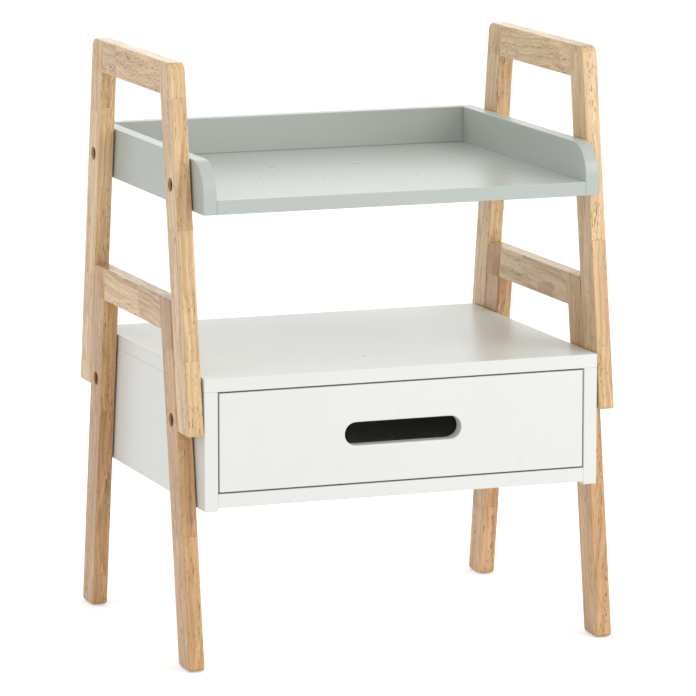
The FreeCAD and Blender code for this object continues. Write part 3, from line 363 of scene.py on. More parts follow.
# %% [markdown]
# ### Rings and vessels
#
# The rings are a wave texture round the bar's axis, pulled long by a small factor along the
# grain. The vessels are the peaks of a fine, stretched noise. How high a peak has to be
# follows a second, broader noise, so the dashes stand in loose crowds.

# %% Draw the rings and the vessels
RING_SCALE = 34.0
RING_STRETCH = (1.0, 1.0, 0.05)
RING_DISTORTION = 0.6
VESSEL_SCALE = (760.0, 760.0, 70.0)
CROWD_SCALE = (70.0, 70.0, 9.0)
CROWD_RANGE = (0.35, 0.65)
PEAK_RANGE = (0.74, 0.58)
VESSEL_EDGE = 0.045


def growth_rings(tree, bent):
    """Faint rings that run along the bar."""
    inputs = {
        "Vector": move(tree, "MULTIPLY", bent, RING_STRETCH),
        "Scale": RING_SCALE,
        "Distortion": RING_DISTORTION,
    }
    shape = {"wave_type": "RINGS", "rings_direction": "Z", "wave_profile": "SAW"}
    return put(tree, "ShaderNodeTexWave", inputs, **shape).outputs["Fac"]


def open_vessels(tree, grain, bent):
    """A mask of the short dark dashes."""
    vessels = cloud(tree, bent, VESSEL_SCALE, 1.0, 0.4)
    crowd = cloud(tree, grain, CROWD_SCALE, 2.0)
    limit = spread(tree, crowd, *CROWD_RANGE, *PEAK_RANGE)
    return spread(tree, calc(tree, "SUBTRACT", vessels, limit), 0.0, VESSEL_EDGE)


print("a vessel is about", round(VESSEL_SCALE[0] / VESSEL_SCALE[2]), "times as long as wide")

# %% [markdown]
# ### The wood group
#
# Every layer is a number between 0 and 1 at each point. Three lists of shares say how much
# of each goes into the tone, the roughness and the height. The tone picks a colour between
# the light and the dark wood, and the vessels and glue lines darken it.

# %% The wood group
STREAK_SCALE = (190.0, 190.0, 4.0)
BROAD_SCALE = (26.0, 26.0, 3.0)
FIBRE_SCALE = (1100.0, 1100.0, 40.0)
TONE_SHARES = {"rings": 0.24, "streaks": 0.95, "broad": 0.55, "fibre": 0.24}
ROUGH_SHARES = {"pores": 0.2, "fibre": 0.14, "streaks": 0.6}
HEIGHT_SHARES = {"fibre": 0.35, "pores": -1.0, "joint": -0.6}
TONE_RANGE = (0.75, 1.45)
PORE_DARKNESS = 0.75
GLUE_DARKNESS = 0.4


def wood_layers(tree, grain, bent, joint):
    """Every layer of the figure, by name."""
    return {
        "rings": growth_rings(tree, bent),
        "streaks": cloud(tree, bent, STREAK_SCALE, 4.0, 0.62),
        "broad": cloud(tree, grain, BROAD_SCALE, 2.0),
        "fibre": cloud(tree, bent, FIBRE_SCALE, 2.0),
        "pores": open_vessels(tree, grain, bent),
        "joint": joint,
    }


def make_wood_group():
    """Colour, gloss and relief of timber made of staves."""
    inputs = {
        "Timber": "Vector",
        "Stave": "Float",
        "Light": "Color",
        "Dark": "Color",
        "Pore": "Color",
        "Stave Contrast": "Float",
    }
    tree, given, made = new_group("timber_figure", inputs, SKIN)
    chance, joint = cut_staves(tree, given["Timber"], given["Stave"])
    grain = lean_grain(tree, given["Timber"], chance)
    layers = wood_layers(tree, grain, bend_grain(tree, grain), joint)

    def total(shares):
        return weighed(tree, *((layers[name], share) for name, share in shares.items()))

    tone = calc(
        tree, "MULTIPLY_ADD", chance["Value"], given["Stave Contrast"], total(TONE_SHARES)
    )
    wood = mix_colours(tree, spread(tree, tone, *TONE_RANGE), given["Light"], given["Dark"])
    pores = calc(tree, "MULTIPLY", layers["pores"], PORE_DARKNESS)
    glue = calc(tree, "MULTIPLY", joint, GLUE_DARKNESS)
    wood = mix_colours(tree, pores, wood, given["Pore"])
    tree.links.new(mix_colours(tree, glue, wood, given["Pore"]), made["Color"])
    tree.links.new(total(ROUGH_SHARES), made["Roughness"])
    tree.links.new(total(HEIGHT_SHARES), made["Height"])
    return tree


WOOD_GROUP = make_wood_group()
print("wood group:", len(WOOD_GROUP.nodes), "nodes")

# %% [markdown]
# ## Lacquer
#
# The tray and the cabinet are fibreboard under sprayed satin lacquer. Sprayed paint is never
# quite flat: it dries with a fine orange peel, its gloss wanders a little over a panel, and
# its colour drifts by a hair. One group holds that, and sage, white and the plainer drawer
# boards each place it with their own colour and strengths.

# %% The lacquer group
DRIFT_SCALE = (5.0, 5.0, 5.0)
HAZE_SCALE = (28.0, 28.0, 28.0)
PEEL_SCALE = (330.0, 330.0, 330.0)
PAINT_VALUE = 0.965
DRIFT_SHARE = 0.05
HAZE_SHARE = 0.02
HAZE_ROUGHNESS = 0.09


def make_lacquer_group():
    """Colour, gloss and relief of a sprayed or coated board."""
    inputs = {"Place": "Vector", "Paint": "Color", "Gloss": "Float", "Peel": "Float"}
    tree, given, made = new_group("sprayed_coat", inputs, SKIN)
    drift = cloud(tree, given["Place"], DRIFT_SCALE, 3.0)
    haze = cloud(tree, given["Place"], HAZE_SCALE, 2.0)
    peel = cloud(tree, given["Place"], PEEL_SCALE, 2.0)
    value = weighed(tree, (drift, DRIFT_SHARE), (haze, HAZE_SHARE), (1.0, PAINT_VALUE))
    shade = {"Color": given["Paint"], "Value": value}
    painted = put(tree, "ShaderNodeHueSaturation", shade).outputs[0]
    rough = calc(tree, "MULTIPLY_ADD", haze, HAZE_ROUGHNESS, given["Gloss"])
    tree.links.new(painted, made["Color"])
    tree.links.new(rough, made["Roughness"])
    tree.links.new(calc(tree, "MULTIPLY", peel, given["Peel"]), made["Height"])
    return tree


LACQUER_GROUP = make_lacquer_group()
print("lacquer group:", len(LACQUER_GROUP.nodes), "nodes")

# %% [markdown]
# ## Metal
#
# Rolled, plated and cast metal share one idea: fine lines or grains that follow the way the
# piece was worked, with a cloudy gloss over them. The stretch input sets the direction of
# the lines, and the tarnish colour gathers where the clouds are thick.

# %% The metal group
BLOOM_SCALE = (90.0, 90.0, 90.0)
STAIN_RANGE = (0.45, 0.75)
STAIN_DEPTH = (0.0, 0.7)
LINE_ROUGHNESS = 0.16
STAIN_ROUGHNESS = 0.12
BLOOM_HEIGHT = 0.2


def make_metal_group():
    """Colour, gloss and relief of worked metal."""
    inputs = {
        "Place": "Vector",
        "Stretch": "Vector",
        "Metal": "Color",
        "Tarnish": "Color",
        "Gloss": "Float",
    }
    tree, given, made = new_group("worked_metal", inputs, SKIN)
    lines = cloud(tree, given["Place"], given["Stretch"], 3.0, 0.6)
    bloom = cloud(tree, given["Place"], BLOOM_SCALE, 4.0, 0.6)
    stain = spread(tree, bloom, *STAIN_RANGE, *STAIN_DEPTH)
    tree.links.new(mix_colours(tree, stain, given["Metal"], given["Tarnish"]), made["Color"])
    rough = weighed(tree, (lines, LINE_ROUGHNESS), (stain, STAIN_ROUGHNESS))
    tree.links.new(calc(tree, "ADD", rough, given["Gloss"]), made["Roughness"])
    tree.links.new(weighed(tree, (lines, 1.0), (bloom, BLOOM_HEIGHT)), made["Height"])
    return tree


METAL_GROUP = make_metal_group()
print("metal group:", len(METAL_GROUP.nodes), "nodes")

# %% [markdown]
# ## One recipe for every finish
#
# A finish is a group with its values, a bump made from its height, and one Principled
# shader. What is the same all over a surface, such as how metallic it is or how much clear
# coat it has, goes straight onto the shader's own sockets. Most finishes read the point on
# the object itself. Timber made of staves reads the two attributes of its bar instead.

# %% The recipe
def attribute(tree, name):
    """The node that reads one of a mesh's own attributes."""
    return put(tree, "ShaderNodeAttribute", attribute_name=name)


def finish(name, group, values, relief, **shader_values):
    """A material from a group, its inputs and the shader's own constants."""
    material = bpy.data.materials.new(name)
    material.use_nodes = True
    tree = material.node_tree
    shader = tree.nodes["Principled BSDF"]
    inputs = dict(values)
    if group is WOOD_GROUP and "Stave" not in values:
        inputs["Timber"] = attribute(tree, "timber").outputs["Vector"]
        inputs["Stave"] = attribute(tree, "stave").outputs["Fac"]
    else:
        point = "Timber" if group is WOOD_GROUP else "Place"
        inputs[point] = put(tree, "ShaderNodeTexCoord").outputs["Object"]
    skin = tree.nodes.new("ShaderNodeGroup")
    skin.node_tree = group
    plug(tree, skin, inputs)
    bump = put(tree, "ShaderNodeBump", {"Height": skin.outputs["Height"], "Distance": relief})
    tree.links.new(skin.outputs["Color"], shader.inputs["Base Color"])
    tree.links.new(skin.outputs["Roughness"], shader.inputs["Roughness"])
    tree.links.new(bump.outputs["Normal"], shader.inputs["Normal"])
    for label, value in shader_values.items():
        shader.inputs[label.replace("_", " ")].default_value = value
    return material


print("a finish is one group, one bump and one shader")

# %% [markdown]
# ## Timber finishes
#
# The high legs and all the crossbars are the paler wood, and the low legs are a deeper batch
# of the same. The two differ by their three colours only. A thin clear coat gives the soft
# shine of varnish. Dowels are plain turned wood without staves.

# %% Timber finishes
STAVE_CONTRAST = 0.3
TIMBER_RELIEF = 0.0002


def frame_timber(name, light, dark, pore):
    """Varnished timber made of staves."""
    values = {"Light": light, "Dark": dark, "Pore": pore, "Stave Contrast": STAVE_CONTRAST}
    return finish(name, WOOD_GROUP, values, TIMBER_RELIEF, Coat_Weight=0.4, Coat_Roughness=0.2)


RUBBERWOOD = frame_timber(
    "rubberwood",
    light=(0.91, 0.655, 0.37, 1.0),
    dark=(0.49, 0.265, 0.105, 1.0),
    pore=(0.24, 0.12, 0.05, 1.0),
)
DEEP_RUBBERWOOD = frame_timber(
    "deep_rubberwood",
    light=(0.79, 0.49, 0.235, 1.0),
    dark=(0.40, 0.19, 0.07, 1.0),
    pore=(0.20, 0.09, 0.04, 1.0),
)
LEG_FINISH = {"upper": RUBBERWOOD, "lower": DEEP_RUBBERWOOD}
DOWEL_WOOD = finish(
    "dowel_wood",
    WOOD_GROUP,
    {
        "Light": (0.80, 0.60, 0.40, 1.0),
        "Dark": (0.58, 0.38, 0.20, 1.0),
        "Pore": (0.32, 0.18, 0.09, 1.0),
        "Stave": 0.5,
        "Stave Contrast": 0.0,
    },
    0.0003,
)
print("legs come in", len(LEG_FINISH), "shades")

# %% [markdown]
# ## Boards, nylon and the floor
#
# Sage and white are the good faces, smooth and satin. The drawer's inner boards are duller
# and a little rougher. Nylon is a coat as well, with some light let in under its skin. The
# floor glows for the camera only: it hides the far edge of the sheet against the white room
# and throws no light of its own up at the table.

# %% Boards, nylon and the floor
SATIN_RELIEF = 0.000004
BOARD_RELIEF = 0.00006


def coated(name, paint, gloss, peel, relief, **shader_values):
    """A sprayed, coated or moulded surface of one colour."""
    values = {"Paint": paint, "Gloss": gloss, "Peel": peel}
    return finish(name, LACQUER_GROUP, values, relief, **shader_values)


SAGE = coated("sage_lacquer", (0.50, 0.54, 0.50, 1.0), 0.25, 1.0, SATIN_RELIEF)
WHITE = coated("white_lacquer", (0.81, 0.82, 0.79, 1.0), 0.25, 1.0, SATIN_RELIEF)
DRAWER_BOARD = coated("drawer_box_board", (0.80, 0.80, 0.78, 1.0), 0.42, 2.5, BOARD_RELIEF)
DRAWER_FLOOR = coated("drawer_floor_board", (0.76, 0.76, 0.73, 1.0), 0.36, 3.5, BOARD_RELIEF)
NYLON = coated(
    "nylon",
    (0.55, 0.53, 0.48, 1.0),
    0.38,
    3.0,
    0.00008,
    Subsurface_Weight=0.15,
    Subsurface_Scale=0.002,
)
FLOOR_PAPER = coated("studio_paper", grey(0.93), 0.8, 1.0, 0.00002, Emission_Strength=0.33)
paper = FLOOR_PAPER.node_tree
glow = by_camera(paper, grey(1.0), grey(0.0))
paper.links.new(glow, paper.nodes["Principled BSDF"].inputs["Emission Color"])
floor.data.materials.append(FLOOR_PAPER)
print("sage and white, two drawer boards, nylon and the floor")

# %% [markdown]
# ## Metals
#
# Bolt heads are dark bronzed steel, and their colour is darkened further as painted shade
# for the deep recesses they sit in, so they read nearly black. Screws and bolts are bright
# zinc, cam discs are cast and greyer, and the balls are polished. The rails are rolled, so
# their noise is stretched along Y, the way they run.

# %% Metals
def metal(name, stretch, colour, tarnish, gloss, relief):
    """A metal of one make."""
    values = {"Stretch": stretch, "Metal": colour, "Tarnish": tarnish, "Gloss": gloss}
    return finish(name, METAL_GROUP, values, relief, Metallic=1.0)


# Part of this dark colour is bronze and part is painted shade for the recess round each head.
BRONZE_WITH_RECESS_SHADE = metal(
    "bronzed_steel",
    stretch=(700.0, 700.0, 700.0),
    colour=(0.115, 0.06, 0.03, 1.0),
    tarnish=(0.05, 0.03, 0.018, 1.0),
    gloss=0.3,
    relief=0.00005,
)
ZINC = metal(
    "zinc_steel",
    stretch=(600.0, 600.0, 600.0),
    colour=(0.72, 0.73, 0.75, 1.0),
    tarnish=(0.52, 0.52, 0.50, 1.0),
    gloss=0.22,
    relief=0.00004,
)
CAST_ZINC = metal(
    "cast_zinc",
    stretch=(380.0, 380.0, 380.0),
    colour=(0.55, 0.55, 0.56, 1.0),
    tarnish=(0.34, 0.34, 0.34, 1.0),
    gloss=0.42,
    relief=0.0001,
)
RAIL_STEEL = metal(
    "rail_steel",
    stretch=(1400.0, 6.0, 1400.0),
    colour=(0.68, 0.69, 0.71, 1.0),
    tarnish=(0.50, 0.51, 0.53, 1.0),
    gloss=0.2,
    relief=0.00003,
)
BALL_STEEL = metal(
    "ball_steel",
    stretch=(500.0, 500.0, 500.0),
    colour=(0.82, 0.83, 0.85, 1.0),
    tarnish=(0.62, 0.60, 0.55, 1.0),
    gloss=0.05,
    relief=0.00001,
)
print(len(bpy.data.materials), "materials in the file")

# %% [markdown]
# ## From a bmesh to a piece
#
# Every piece ends the same way. Its faces are turned outward, edges sharper than a set
# angle stay crisp while the small rounds shade smoothly, and weighted normals keep the big
# flat faces flat next to them. Then it rides on its body and takes the place of the plain
# part it stands for.

# %% Finish a piece
SHARP_ANGLE = math.radians(38)
MERGE_REACH = 0.000001
BODY_OF = {
    node: body
    for body, members in frame["record"]["behaviour"]["bodies"].items()
    for node in members
}


def add_piece(name, bm, material):
    """An object from a bmesh, standing for the part of that name."""
    bmesh.ops.remove_doubles(bm, verts=bm.verts, dist=MERGE_REACH)
    bmesh.ops.recalc_face_normals(bm, faces=bm.faces)
    mesh = bpy.data.meshes.new(name + "_shape")
    bm.to_mesh(mesh)
    bm.free()
    mesh.shade_smooth()
    mesh.set_sharp_from_angle(angle=SHARP_ANGLE)
    mesh.materials.append(material)
    piece = bpy.data.objects.new(name + "_look", mesh)
    bpy.context.scene.collection.objects.link(piece)
    modifier = piece.modifiers.new("weighted_normals", "WEIGHTED_NORMAL")
    modifier.keep_sharp = True
    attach(piece, BODY_OF[name])
    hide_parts(name)
    return piece


# %% [markdown]
# ### Boxes and rounds
#
# Timber and boards both start as a box between two corners, which come from the part that
# the piece stands for. Edges are chosen by a test on their ends, because their numbers
# change with every operator, and then turned into rounds by a bevel with several segments.

# %% Boxes and rounds
EDGE_SEGMENTS = 3
FLAT = 0.99


def box_in(bm, low, high):
    """A box between two corners, in a bmesh that may hold other things."""
    low = Vector(low)
    high = Vector(high)
    made = bmesh.ops.create_cube(bm, size=1)["verts"]
    bmesh.ops.scale(bm, vec=high - low, verts=made)
    bmesh.ops.translate(bm, vec=(low + high) / 2, verts=made)
    return made


def edges_where(bm, test):
    """The edges whose two ends both pass a test."""
    return [edge for edge in bm.edges if all(test(vert.co) for vert in edge.verts)]


def rounded(bm, edges, radius, segments):
    """Edges turned into a round of that radius."""
    return bmesh.ops.bevel(
        bm,
        geom=edges,
        offset=radius,
        segments=segments,
        profile=0.5,
        affect="EDGES",
        material=-1,
        clamp_overlap=True,
    )


def near(value, target, reach=0.00005):
    """Whether two lengths are the same for a maker."""
    return abs(value - target) < reach


def lies_at(face, axis, place):
    """Whether a face lies flat across an axis at that place."""
    return abs(face.normal[axis]) > FLAT and near(face.calc_center_median()[axis], place)


print("edges are rounded in", EDGE_SEGMENTS, "segments")

# %% [markdown]
# ## A round hole or slot in a flat face
#
# Beside a boolean there is a tidy way to put a hole in a board: cut a small patch out of
# the face with four knife planes, split its rim into more edges, and ease those vertices
# onto the outline of the hole. The rest of the face stays one clean surface, and the hole's
# rim is a ring of edges that can be pushed in or bevelled.

# %% Cut a patch out of a face
KNIFE_REACH = 0.0000001


def knife(bm, axis, place, test):
    """One cut across an axis, through the faces that pass a test."""
    point = Vector((0, 0, 0))
    point[axis] = place
    normal = Vector((0, 0, 0))
    normal[axis] = 1
    faces = [face for face in bm.faces if test(face)]
    edges = {edge for face in faces for edge in face.edges}
    corners = {vert for face in faces for vert in face.verts}
    geom = list(corners) + list(edges) + faces
    bmesh.ops.bisect_plane(bm, geom=geom, dist=KNIFE_REACH, plane_co=point, plane_no=normal)


def cut_patch(bm, axes, low, high, test):
    """Cuts a rectangle out of the faces that pass a test; returns the faces inside it."""
    for axis in axes:
        knife(bm, axis, low[axis], test)
        knife(bm, axis, high[axis], test)

    def inside(face):
        middle = face.calc_center_median()
        return all(low[axis] < middle[axis] < high[axis] for axis in axes)

    return [face for face in bm.faces if test(face) and inside(face)]


print("a patch takes four cuts")

# %% [markdown]
# ### From a rectangle to an outline
#
# The patch is first inset by less than a millimetre. That leaves a narrow band of faces
# round it, which takes up the change from the rectangle to the round outline.

# %% Ease a patch onto an outline
PATCH_INSET = 0.0004


def open_ring(bm, faces, shape, cuts):
    """Insets a patch, splits its rim and moves it onto a shape; returns the inner faces."""
    bmesh.ops.inset_region(bm, faces=faces, thickness=PATCH_INSET, depth=0)
    rim = list({edge for face in faces for edge in face.edges})
    bmesh.ops.subdivide_edges(bm, edges=rim, cuts=cuts, use_grid_fill=False)
    for vert in {vert for face in faces for vert in face.verts}:
        vert.co = shape(vert.co)
    return faces


print("a patch is inset by", PATCH_INSET * 1000, "mm")

# %% [markdown]
# ## Frame timbers
#
# The frames are leaning legs with a crossbar glued between each pair. The lean is the same
# in both tiers, which is what lets the high frame nest over the low one. The edges are
# eased, and the legs' outer top corners are cut round.
#
# The joints between staves fall in other places on every bar. `STAVES` gives each bar the
# place of one joint along it and the length of its staves.

# %% Sizes of the frame timber
SPLAY = 0.148
LEG_WIDTH = 0.0545
EASED_EDGE = 0.002
FOOT_ROUND = 0.0056
TOP_ROUND = {"upper": 0.014, "lower": 0.006}
BUTT_CHAMFER = 0.0005
RECESS_RADIUS = 0.011
RECESS_DEPTH = 0.007
BOLT_HEIGHT = {"upper": 0.7525, "lower": 0.385}
STAVES = {
    "upper_left_front_leg": (0.887, 0.200),
    "upper_left_rear_leg": (0.560, 0.270),
    "upper_right_front_leg": (0.637, 0.310),
    "upper_right_rear_leg": (0.710, 0.260),
    "lower_left_front_leg": (0.210, 0.290),
    "lower_left_rear_leg": (0.333, 0.280),
    "lower_right_front_leg": (0.253, 0.340),
    "lower_right_rear_leg": (0.420, 0.300),
    "upper_left_crossbar": (0.080, 0.230),
    "upper_right_crossbar": (-0.060, 0.260),
    "lower_left_crossbar": (-0.030, 0.240),
    "lower_right_crossbar": (0.050, 0.220),
}
print("legs lean by", round(math.degrees(math.atan(SPLAY)), 1), "degrees")

# %% [markdown]
# ### Grain on the vertices
#
# The points of the grain and the staves are written on the vertices. Both are linear along
# the bar, so no extra vertices are needed to carry them. Bars start their count of staves at
# numbers far apart, and so no two bars share a stave.

# %% Write the grain
FIRST_NUMBER = 23


def write_grain(bm, name, across, along):
    """Gives every vertex its point inside the bar and its place in the row of staves."""
    timber = bm.verts.layers.float_vector.new("timber")
    stave = bm.verts.layers.float.new("stave")
    joint, pitch = STAVES[name]
    first = FIRST_NUMBER * (1 + list(STAVES).index(name))
    for vert in bm.verts:
        vert[timber] = (vert.co.x, across(vert.co), along(vert.co))
        vert[stave] = first + (along(vert.co) - joint) / pitch


print(len(STAVES), "bars have their staves laid out")

# %% [markdown]
# ### The recess for a bolt's head
#
# A counterbore is a round pocket with a flat bottom. The patch on the leg's outer face is
# eased onto a circle, extruded, and its copy is pushed in.

# %% Sink a recess
RECESS_MARGIN = 0.0008
RECESS_CUTS = 9


def sink_recess(bm, outer_x, centre):
    """A round recess in the outer face of a leg, for a bolt's head."""
    half = RECESS_RADIUS + RECESS_MARGIN
    corner = Vector((0, half, half))

    def on_outer_face(face):
        return lies_at(face, 0, outer_x)

    def onto_circle(point):
        arm = Vector((0, point.y - centre.y, point.z - centre.z)).normalized() * RECESS_RADIUS
        return Vector((point.x, centre.y + arm.y, centre.z + arm.z))

    patch = cut_patch(bm, (1, 2), centre - corner, centre + corner, on_outer_face)
    patch = open_ring(bm, patch, onto_circle, RECESS_CUTS)
    sunk = bmesh.ops.extrude_face_region(bm, geom=patch)["geom"]
    bmesh.ops.delete(bm, geom=patch, context="FACES_ONLY")
    moved = [item for item in sunk if isinstance(item, bmesh.types.BMVert)]
    inward = Vector((-math.copysign(RECESS_DEPTH, outer_x), 0, 0))
    bmesh.ops.translate(bm, vec=inward, verts=moved)


print("a recess's circle has", 4 * (RECESS_CUTS + 1), "edges")

# %% [markdown]
# ### A leg before it leans
#
# Each leg starts as an upright box, with a cut at the height where the crossbar's underside
# will meet it. The outline corners are rounded while the box is still straight. One shear
# matrix then leans it, which keeps its ends level and its width the same at every height.

# %% Block out a leg and lean it
THROUGH = 0.01
TOP_SEGMENTS = 8
FOOT_SEGMENTS = 6


def goes_through(edge, height, width):
    """Whether an edge runs through a leg's thickness, at that height and width."""
    first, second = (vert.co for vert in edge.verts)
    level = near(first.z, height) and near(second.z, height)
    in_line = near(first.y, width) and near(second.y, width)
    return level and in_line and abs(first.x - second.x) > THROUGH


def leg_block(tier, low, high, bar_low):
    """An upright leg, rounded at its foot and at its outer top corner."""
    bm = bmesh.new()
    box_in(bm, (low.x, 0, low.z), (high.x, LEG_WIDTH, high.z))
    whole = bm.verts[:] + bm.edges[:] + bm.faces[:]
    bmesh.ops.bisect_plane(bm, geom=whole, plane_co=bar_low, plane_no=(0, 0, 1))
    top = [e for e in bm.edges if goes_through(e, high.z, LEG_WIDTH)]
    rounded(bm, top, TOP_ROUND[tier], TOP_SEGMENTS)
    foot = [
        e
        for e in bm.edges
        if goes_through(e, low.z, 0) or goes_through(e, low.z, LEG_WIDTH)
    ]
    rounded(bm, foot, FOOT_ROUND, FOOT_SEGMENTS)
    return bm


def lean(bm, way, inner_at_floor):
    """Shears a leg into place; way is 1 for a rear leg and -1 for a front leg."""
    slant = Matrix.Identity(4)
    slant[1][1] = way
    slant[1][2] = -way * SPLAY
    slant[1][3] = way * inner_at_floor
    bmesh.ops.transform(bm, matrix=slant, verts=bm.verts)
    bmesh.ops.recalc_face_normals(bm, faces=bm.faces)


print("a leg's top corner has", TOP_SEGMENTS, "segments")

# %% [markdown]
# ### A whole leg
#
# The long edges are rounded after the outline, so the small round runs round the big ones,
# as a router would cut it. Where a crossbar butts against the leg there is no round, because
# the two are glued tight and it would leave a groove.

# %% Make a leg
SIDEWAYS = 0.5
BUTT_SLACK = 0.0001


def is_rim(edge, is_butt):
    """Whether an edge borders a wide face of a leg and isn't glued to the crossbar."""
    in_face = near(edge.verts[0].co.x, edge.verts[1].co.x)
    facing = [abs(face.normal.x) for face in edge.link_faces]
    glued = all(is_butt(vert.co) for vert in edge.verts)
    return in_face and min(facing) < SIDEWAYS < max(facing) and not glued


def make_leg(tier, side, end):
    """One slanted leg with its rounds and bolt recess."""
    name = f"{tier}_{side}_{end}_leg"
    low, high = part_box(name)
    bar_low, bar_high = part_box(f"{tier}_{side}_crossbar")
    way = 1 if end == "rear" else -1
    inner_at_floor = bar_high.y + SPLAY * bar_low.z

    def inner_line(point):
        return inner_at_floor - SPLAY * point.z

    def is_butt(point):
        return point.z > bar_low.z - BUTT_SLACK and near(abs(point.y), inner_line(point))

    bm = leg_block(tier, low, high, bar_low)
    lean(bm, way, inner_at_floor)
    rims = [edge for edge in bm.edges if is_rim(edge, is_butt)]
    rounded(bm, rims, EASED_EDGE, EDGE_SEGMENTS)

    outer_x = low.x if side == "left" else high.x
    height = BOLT_HEIGHT[tier]
    middle = way * (inner_at_floor - SPLAY * height + LEG_WIDTH / 2)
    sink_recess(bm, outer_x, Vector((outer_x, middle, height)))
    write_grain(bm, name, lambda point: abs(point.y) - inner_line(point), lambda point: point.z)
    return add_piece(name, bm, LEG_FINISH[tier])


print("a leg is", LEG_WIDTH * 1000, "mm wide")

# %% [markdown]
# ### Crossbars
#
# A crossbar's ends are cut to the slant of the legs, so its top edge is shorter than its
# bottom one: scaling the top vertices along Y makes both cuts at once. The ends get only a
# hairline chamfer, which draws the line of the joint.

# %% Make a crossbar
LONG_EDGE = 0.1
MOSTLY = 0.9


def make_crossbar(tier, side):
    """One crossbar, with ends cut to the slant of the legs."""
    name = f"{tier}_{side}_crossbar"
    low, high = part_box(name)
    bm = bmesh.new()
    made = box_in(bm, low, high)
    top = [vert for vert in made if near(vert.co.z, high.z)]
    shortened = (high.y - SPLAY * (high.z - low.z)) / high.y
    bmesh.ops.scale(bm, vec=(1, shortened, 1), verts=top)
    lengthwise = [e for e in bm.edges if abs(e.verts[0].co.y - e.verts[1].co.y) > LONG_EDGE]
    rounded(bm, lengthwise, EASED_EDGE, EDGE_SEGMENTS)
    ends = [face for face in bm.faces if abs(face.normal.y) > MOSTLY]
    rounded(bm, list({edge for face in ends for edge in face.edges}), BUTT_CHAMFER, 1)
    write_grain(bm, name, lambda point: point.z - low.z, lambda point: point.y)
    return add_piece(name, bm, RUBBERWOOD)


print("a crossbar's ends are chamfered by", BUTT_CHAMFER * 1000, "mm")

# %% [markdown]
# ### All twelve timbers
#
# Two tiers, two sides, and in each frame one crossbar and two legs: nested loops name them
# all, and every size that differs between them comes from the part of that name.

# %% Make the twelve timbers
for tier in TOP_ROUND:
    for side in ("left", "right"):
        make_crossbar(tier, side)
        for end in ("front", "rear"):
            leg = make_leg(tier, side, end)
print("12 timbers; the last leg has", len(leg.data.polygons), "faces")

# %% [markdown]
# ## Tray sides
#
# Both ends of the tray are boards whose upper front corner is one large quarter round, so
# that nothing sharp faces a person leaning over. A bevel with many segments gives the
# quarter, and a second small one breaks every edge that is still sharp.

# %% Tray sides
TRAY_ROUND = 0.052
TRAY_SEGMENTS = 28
BOARD_EDGE = 0.0012
STILL_SHARP = math.radians(50)


def break_edges(bm):
    """A small round on every edge that is still sharp."""
    sharp = [e for e in bm.edges if e.is_manifold and e.calc_face_angle() > STILL_SHARP]
    rounded(bm, sharp, BOARD_EDGE, EDGE_SEGMENTS)


def make_tray_side(side):
    """One end board of the tray."""
    name = f"tray_{side}_side"
    low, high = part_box(name)
    bm = bmesh.new()
    box_in(bm, low, high)

    def is_front_top(point):
        return near(point.y, low.y) and near(point.z, high.z)

    rounded(bm, edges_where(bm, is_front_top), TRAY_ROUND, TRAY_SEGMENTS)
    bmesh.ops.recalc_face_normals(bm, faces=bm.faces)
    break_edges(bm)
    return add_piece(name, bm, SAGE)


for side in ("left", "right"):
    board = make_tray_side(side)
print("a tray side has", len(board.data.polygons), "faces")

# %% [markdown]
# ## Drawer front
#
# The hand slot is a stadium, two half circles joined by straight lines, cut right through
# the board. Both faces get the same patch, each vertex of its rim moves onto the stadium,
# the two patches are taken out and their rims are bridged. The new rim is then rounded as a
# router would leave it, soft to the fingers.

# %% Open the slot in one face
SLOT_LENGTH = 0.194
SLOT_HEIGHT = 0.037
SLOT_MARGIN = 0.004
SLOT_CUTS = 23


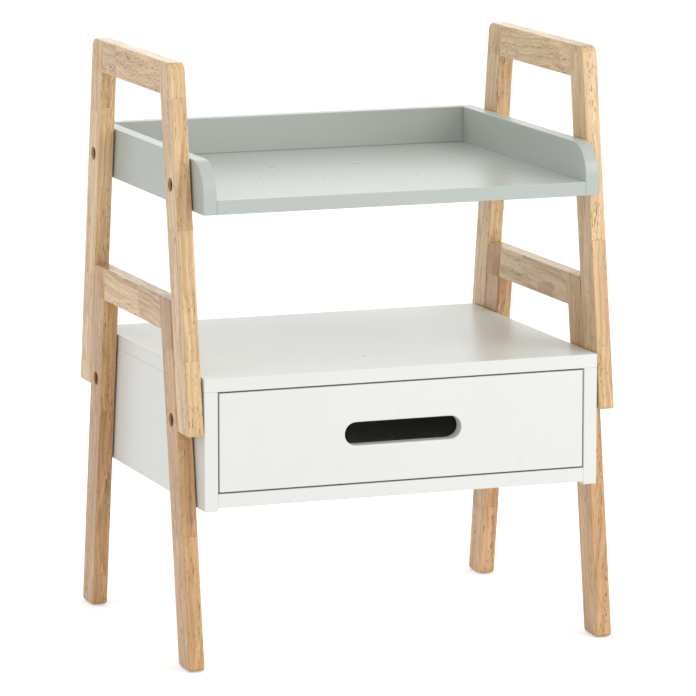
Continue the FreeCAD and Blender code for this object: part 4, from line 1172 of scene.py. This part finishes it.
def open_slot(bm, centre, face_y):
    """Cuts the slot's outline out of one face of the board; returns its rim."""
    radius = SLOT_HEIGHT / 2
    spine = SLOT_LENGTH / 2 - radius
    corner = Vector((SLOT_LENGTH / 2 + SLOT_MARGIN, 0, radius + SLOT_MARGIN))

    def on_face(face):
        return lies_at(face, 1, face_y)

    def onto_slot(point):
        rest = Vector((max(-spine, min(spine, point.x - centre.x)), 0, 0))
        arm = Vector((point.x - centre.x, 0, point.z - centre.z)) - rest
        arm = arm.normalized() * radius
        return Vector((centre.x + rest.x + arm.x, point.y, centre.z + arm.z))

    patch = cut_patch(bm, (0, 2), centre - corner, centre + corner, on_face)
    patch = open_ring(bm, patch, onto_slot, SLOT_CUTS)
    rim = list({edge for face in patch for edge in face.edges})
    bmesh.ops.delete(bm, geom=patch, context="FACES_ONLY")
    return rim


print("the slot is", SLOT_LENGTH * 1000, "mm long")

# %% [markdown]
# ### The board round the slot
#
# Bridging joins the two rims with a ring of faces, the slot's wall. An edge with the wall on
# one side only is a lip, so the lips are found by counting.

# %% Drawer front
SLOT_RIM = 0.002
SLOT_SEGMENTS = 4


def make_drawer_front():
    """The drawer's white front with its routed hand slot."""
    name = "drawer_front"
    low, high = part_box(name)
    centre = (low + high) / 2
    bm = bmesh.new()
    box_in(bm, low, high)
    break_edges(bm)
    rims = open_slot(bm, centre, low.y) + open_slot(bm, centre, high.y)
    wall = set(bmesh.ops.bridge_loops(bm, edges=rims)["faces"])
    bmesh.ops.recalc_face_normals(bm, faces=bm.faces)
    lips = [edge for edge in bm.edges if len(wall & set(edge.link_faces)) == 1]
    rounded(bm, lips, SLOT_RIM, SLOT_SEGMENTS)
    return add_piece(name, bm, WHITE)


front = make_drawer_front()
print("the drawer front has", len(front.data.polygons), "faces")

# %% [markdown]
# ## Parts that keep their shape
#
# Panels with cam seats, screws, bolts, washers, rails and balls come well made from the
# frame. They keep their shape and only trade their plain colour for a mixed finish.

# %% Dress the other parts
FINISHES = {
    "sage_lacquer": SAGE,
    "white_lacquer": WHITE,
    "drawer_box_board": DRAWER_BOARD,
    "drawer_floor_board": DRAWER_FLOOR,
    "bronzed_steel": BRONZE_WITH_RECESS_SHADE,
    "zinc_steel": ZINC,
    "cast_zinc": CAST_ZINC,
    "rail_steel": RAIL_STEEL,
    "ball_steel": BALL_STEEL,
    "dowel_wood": DOWEL_WOOD,
    "nylon": NYLON,
}
dressed = 0
for part in NODES.values():
    for place in part.material_slots:
        if not part.hide_render and place.material.name in FINISHES:
            place.material = FINISHES[place.material.name]
            dressed += 1
print(dressed, "parts dressed")
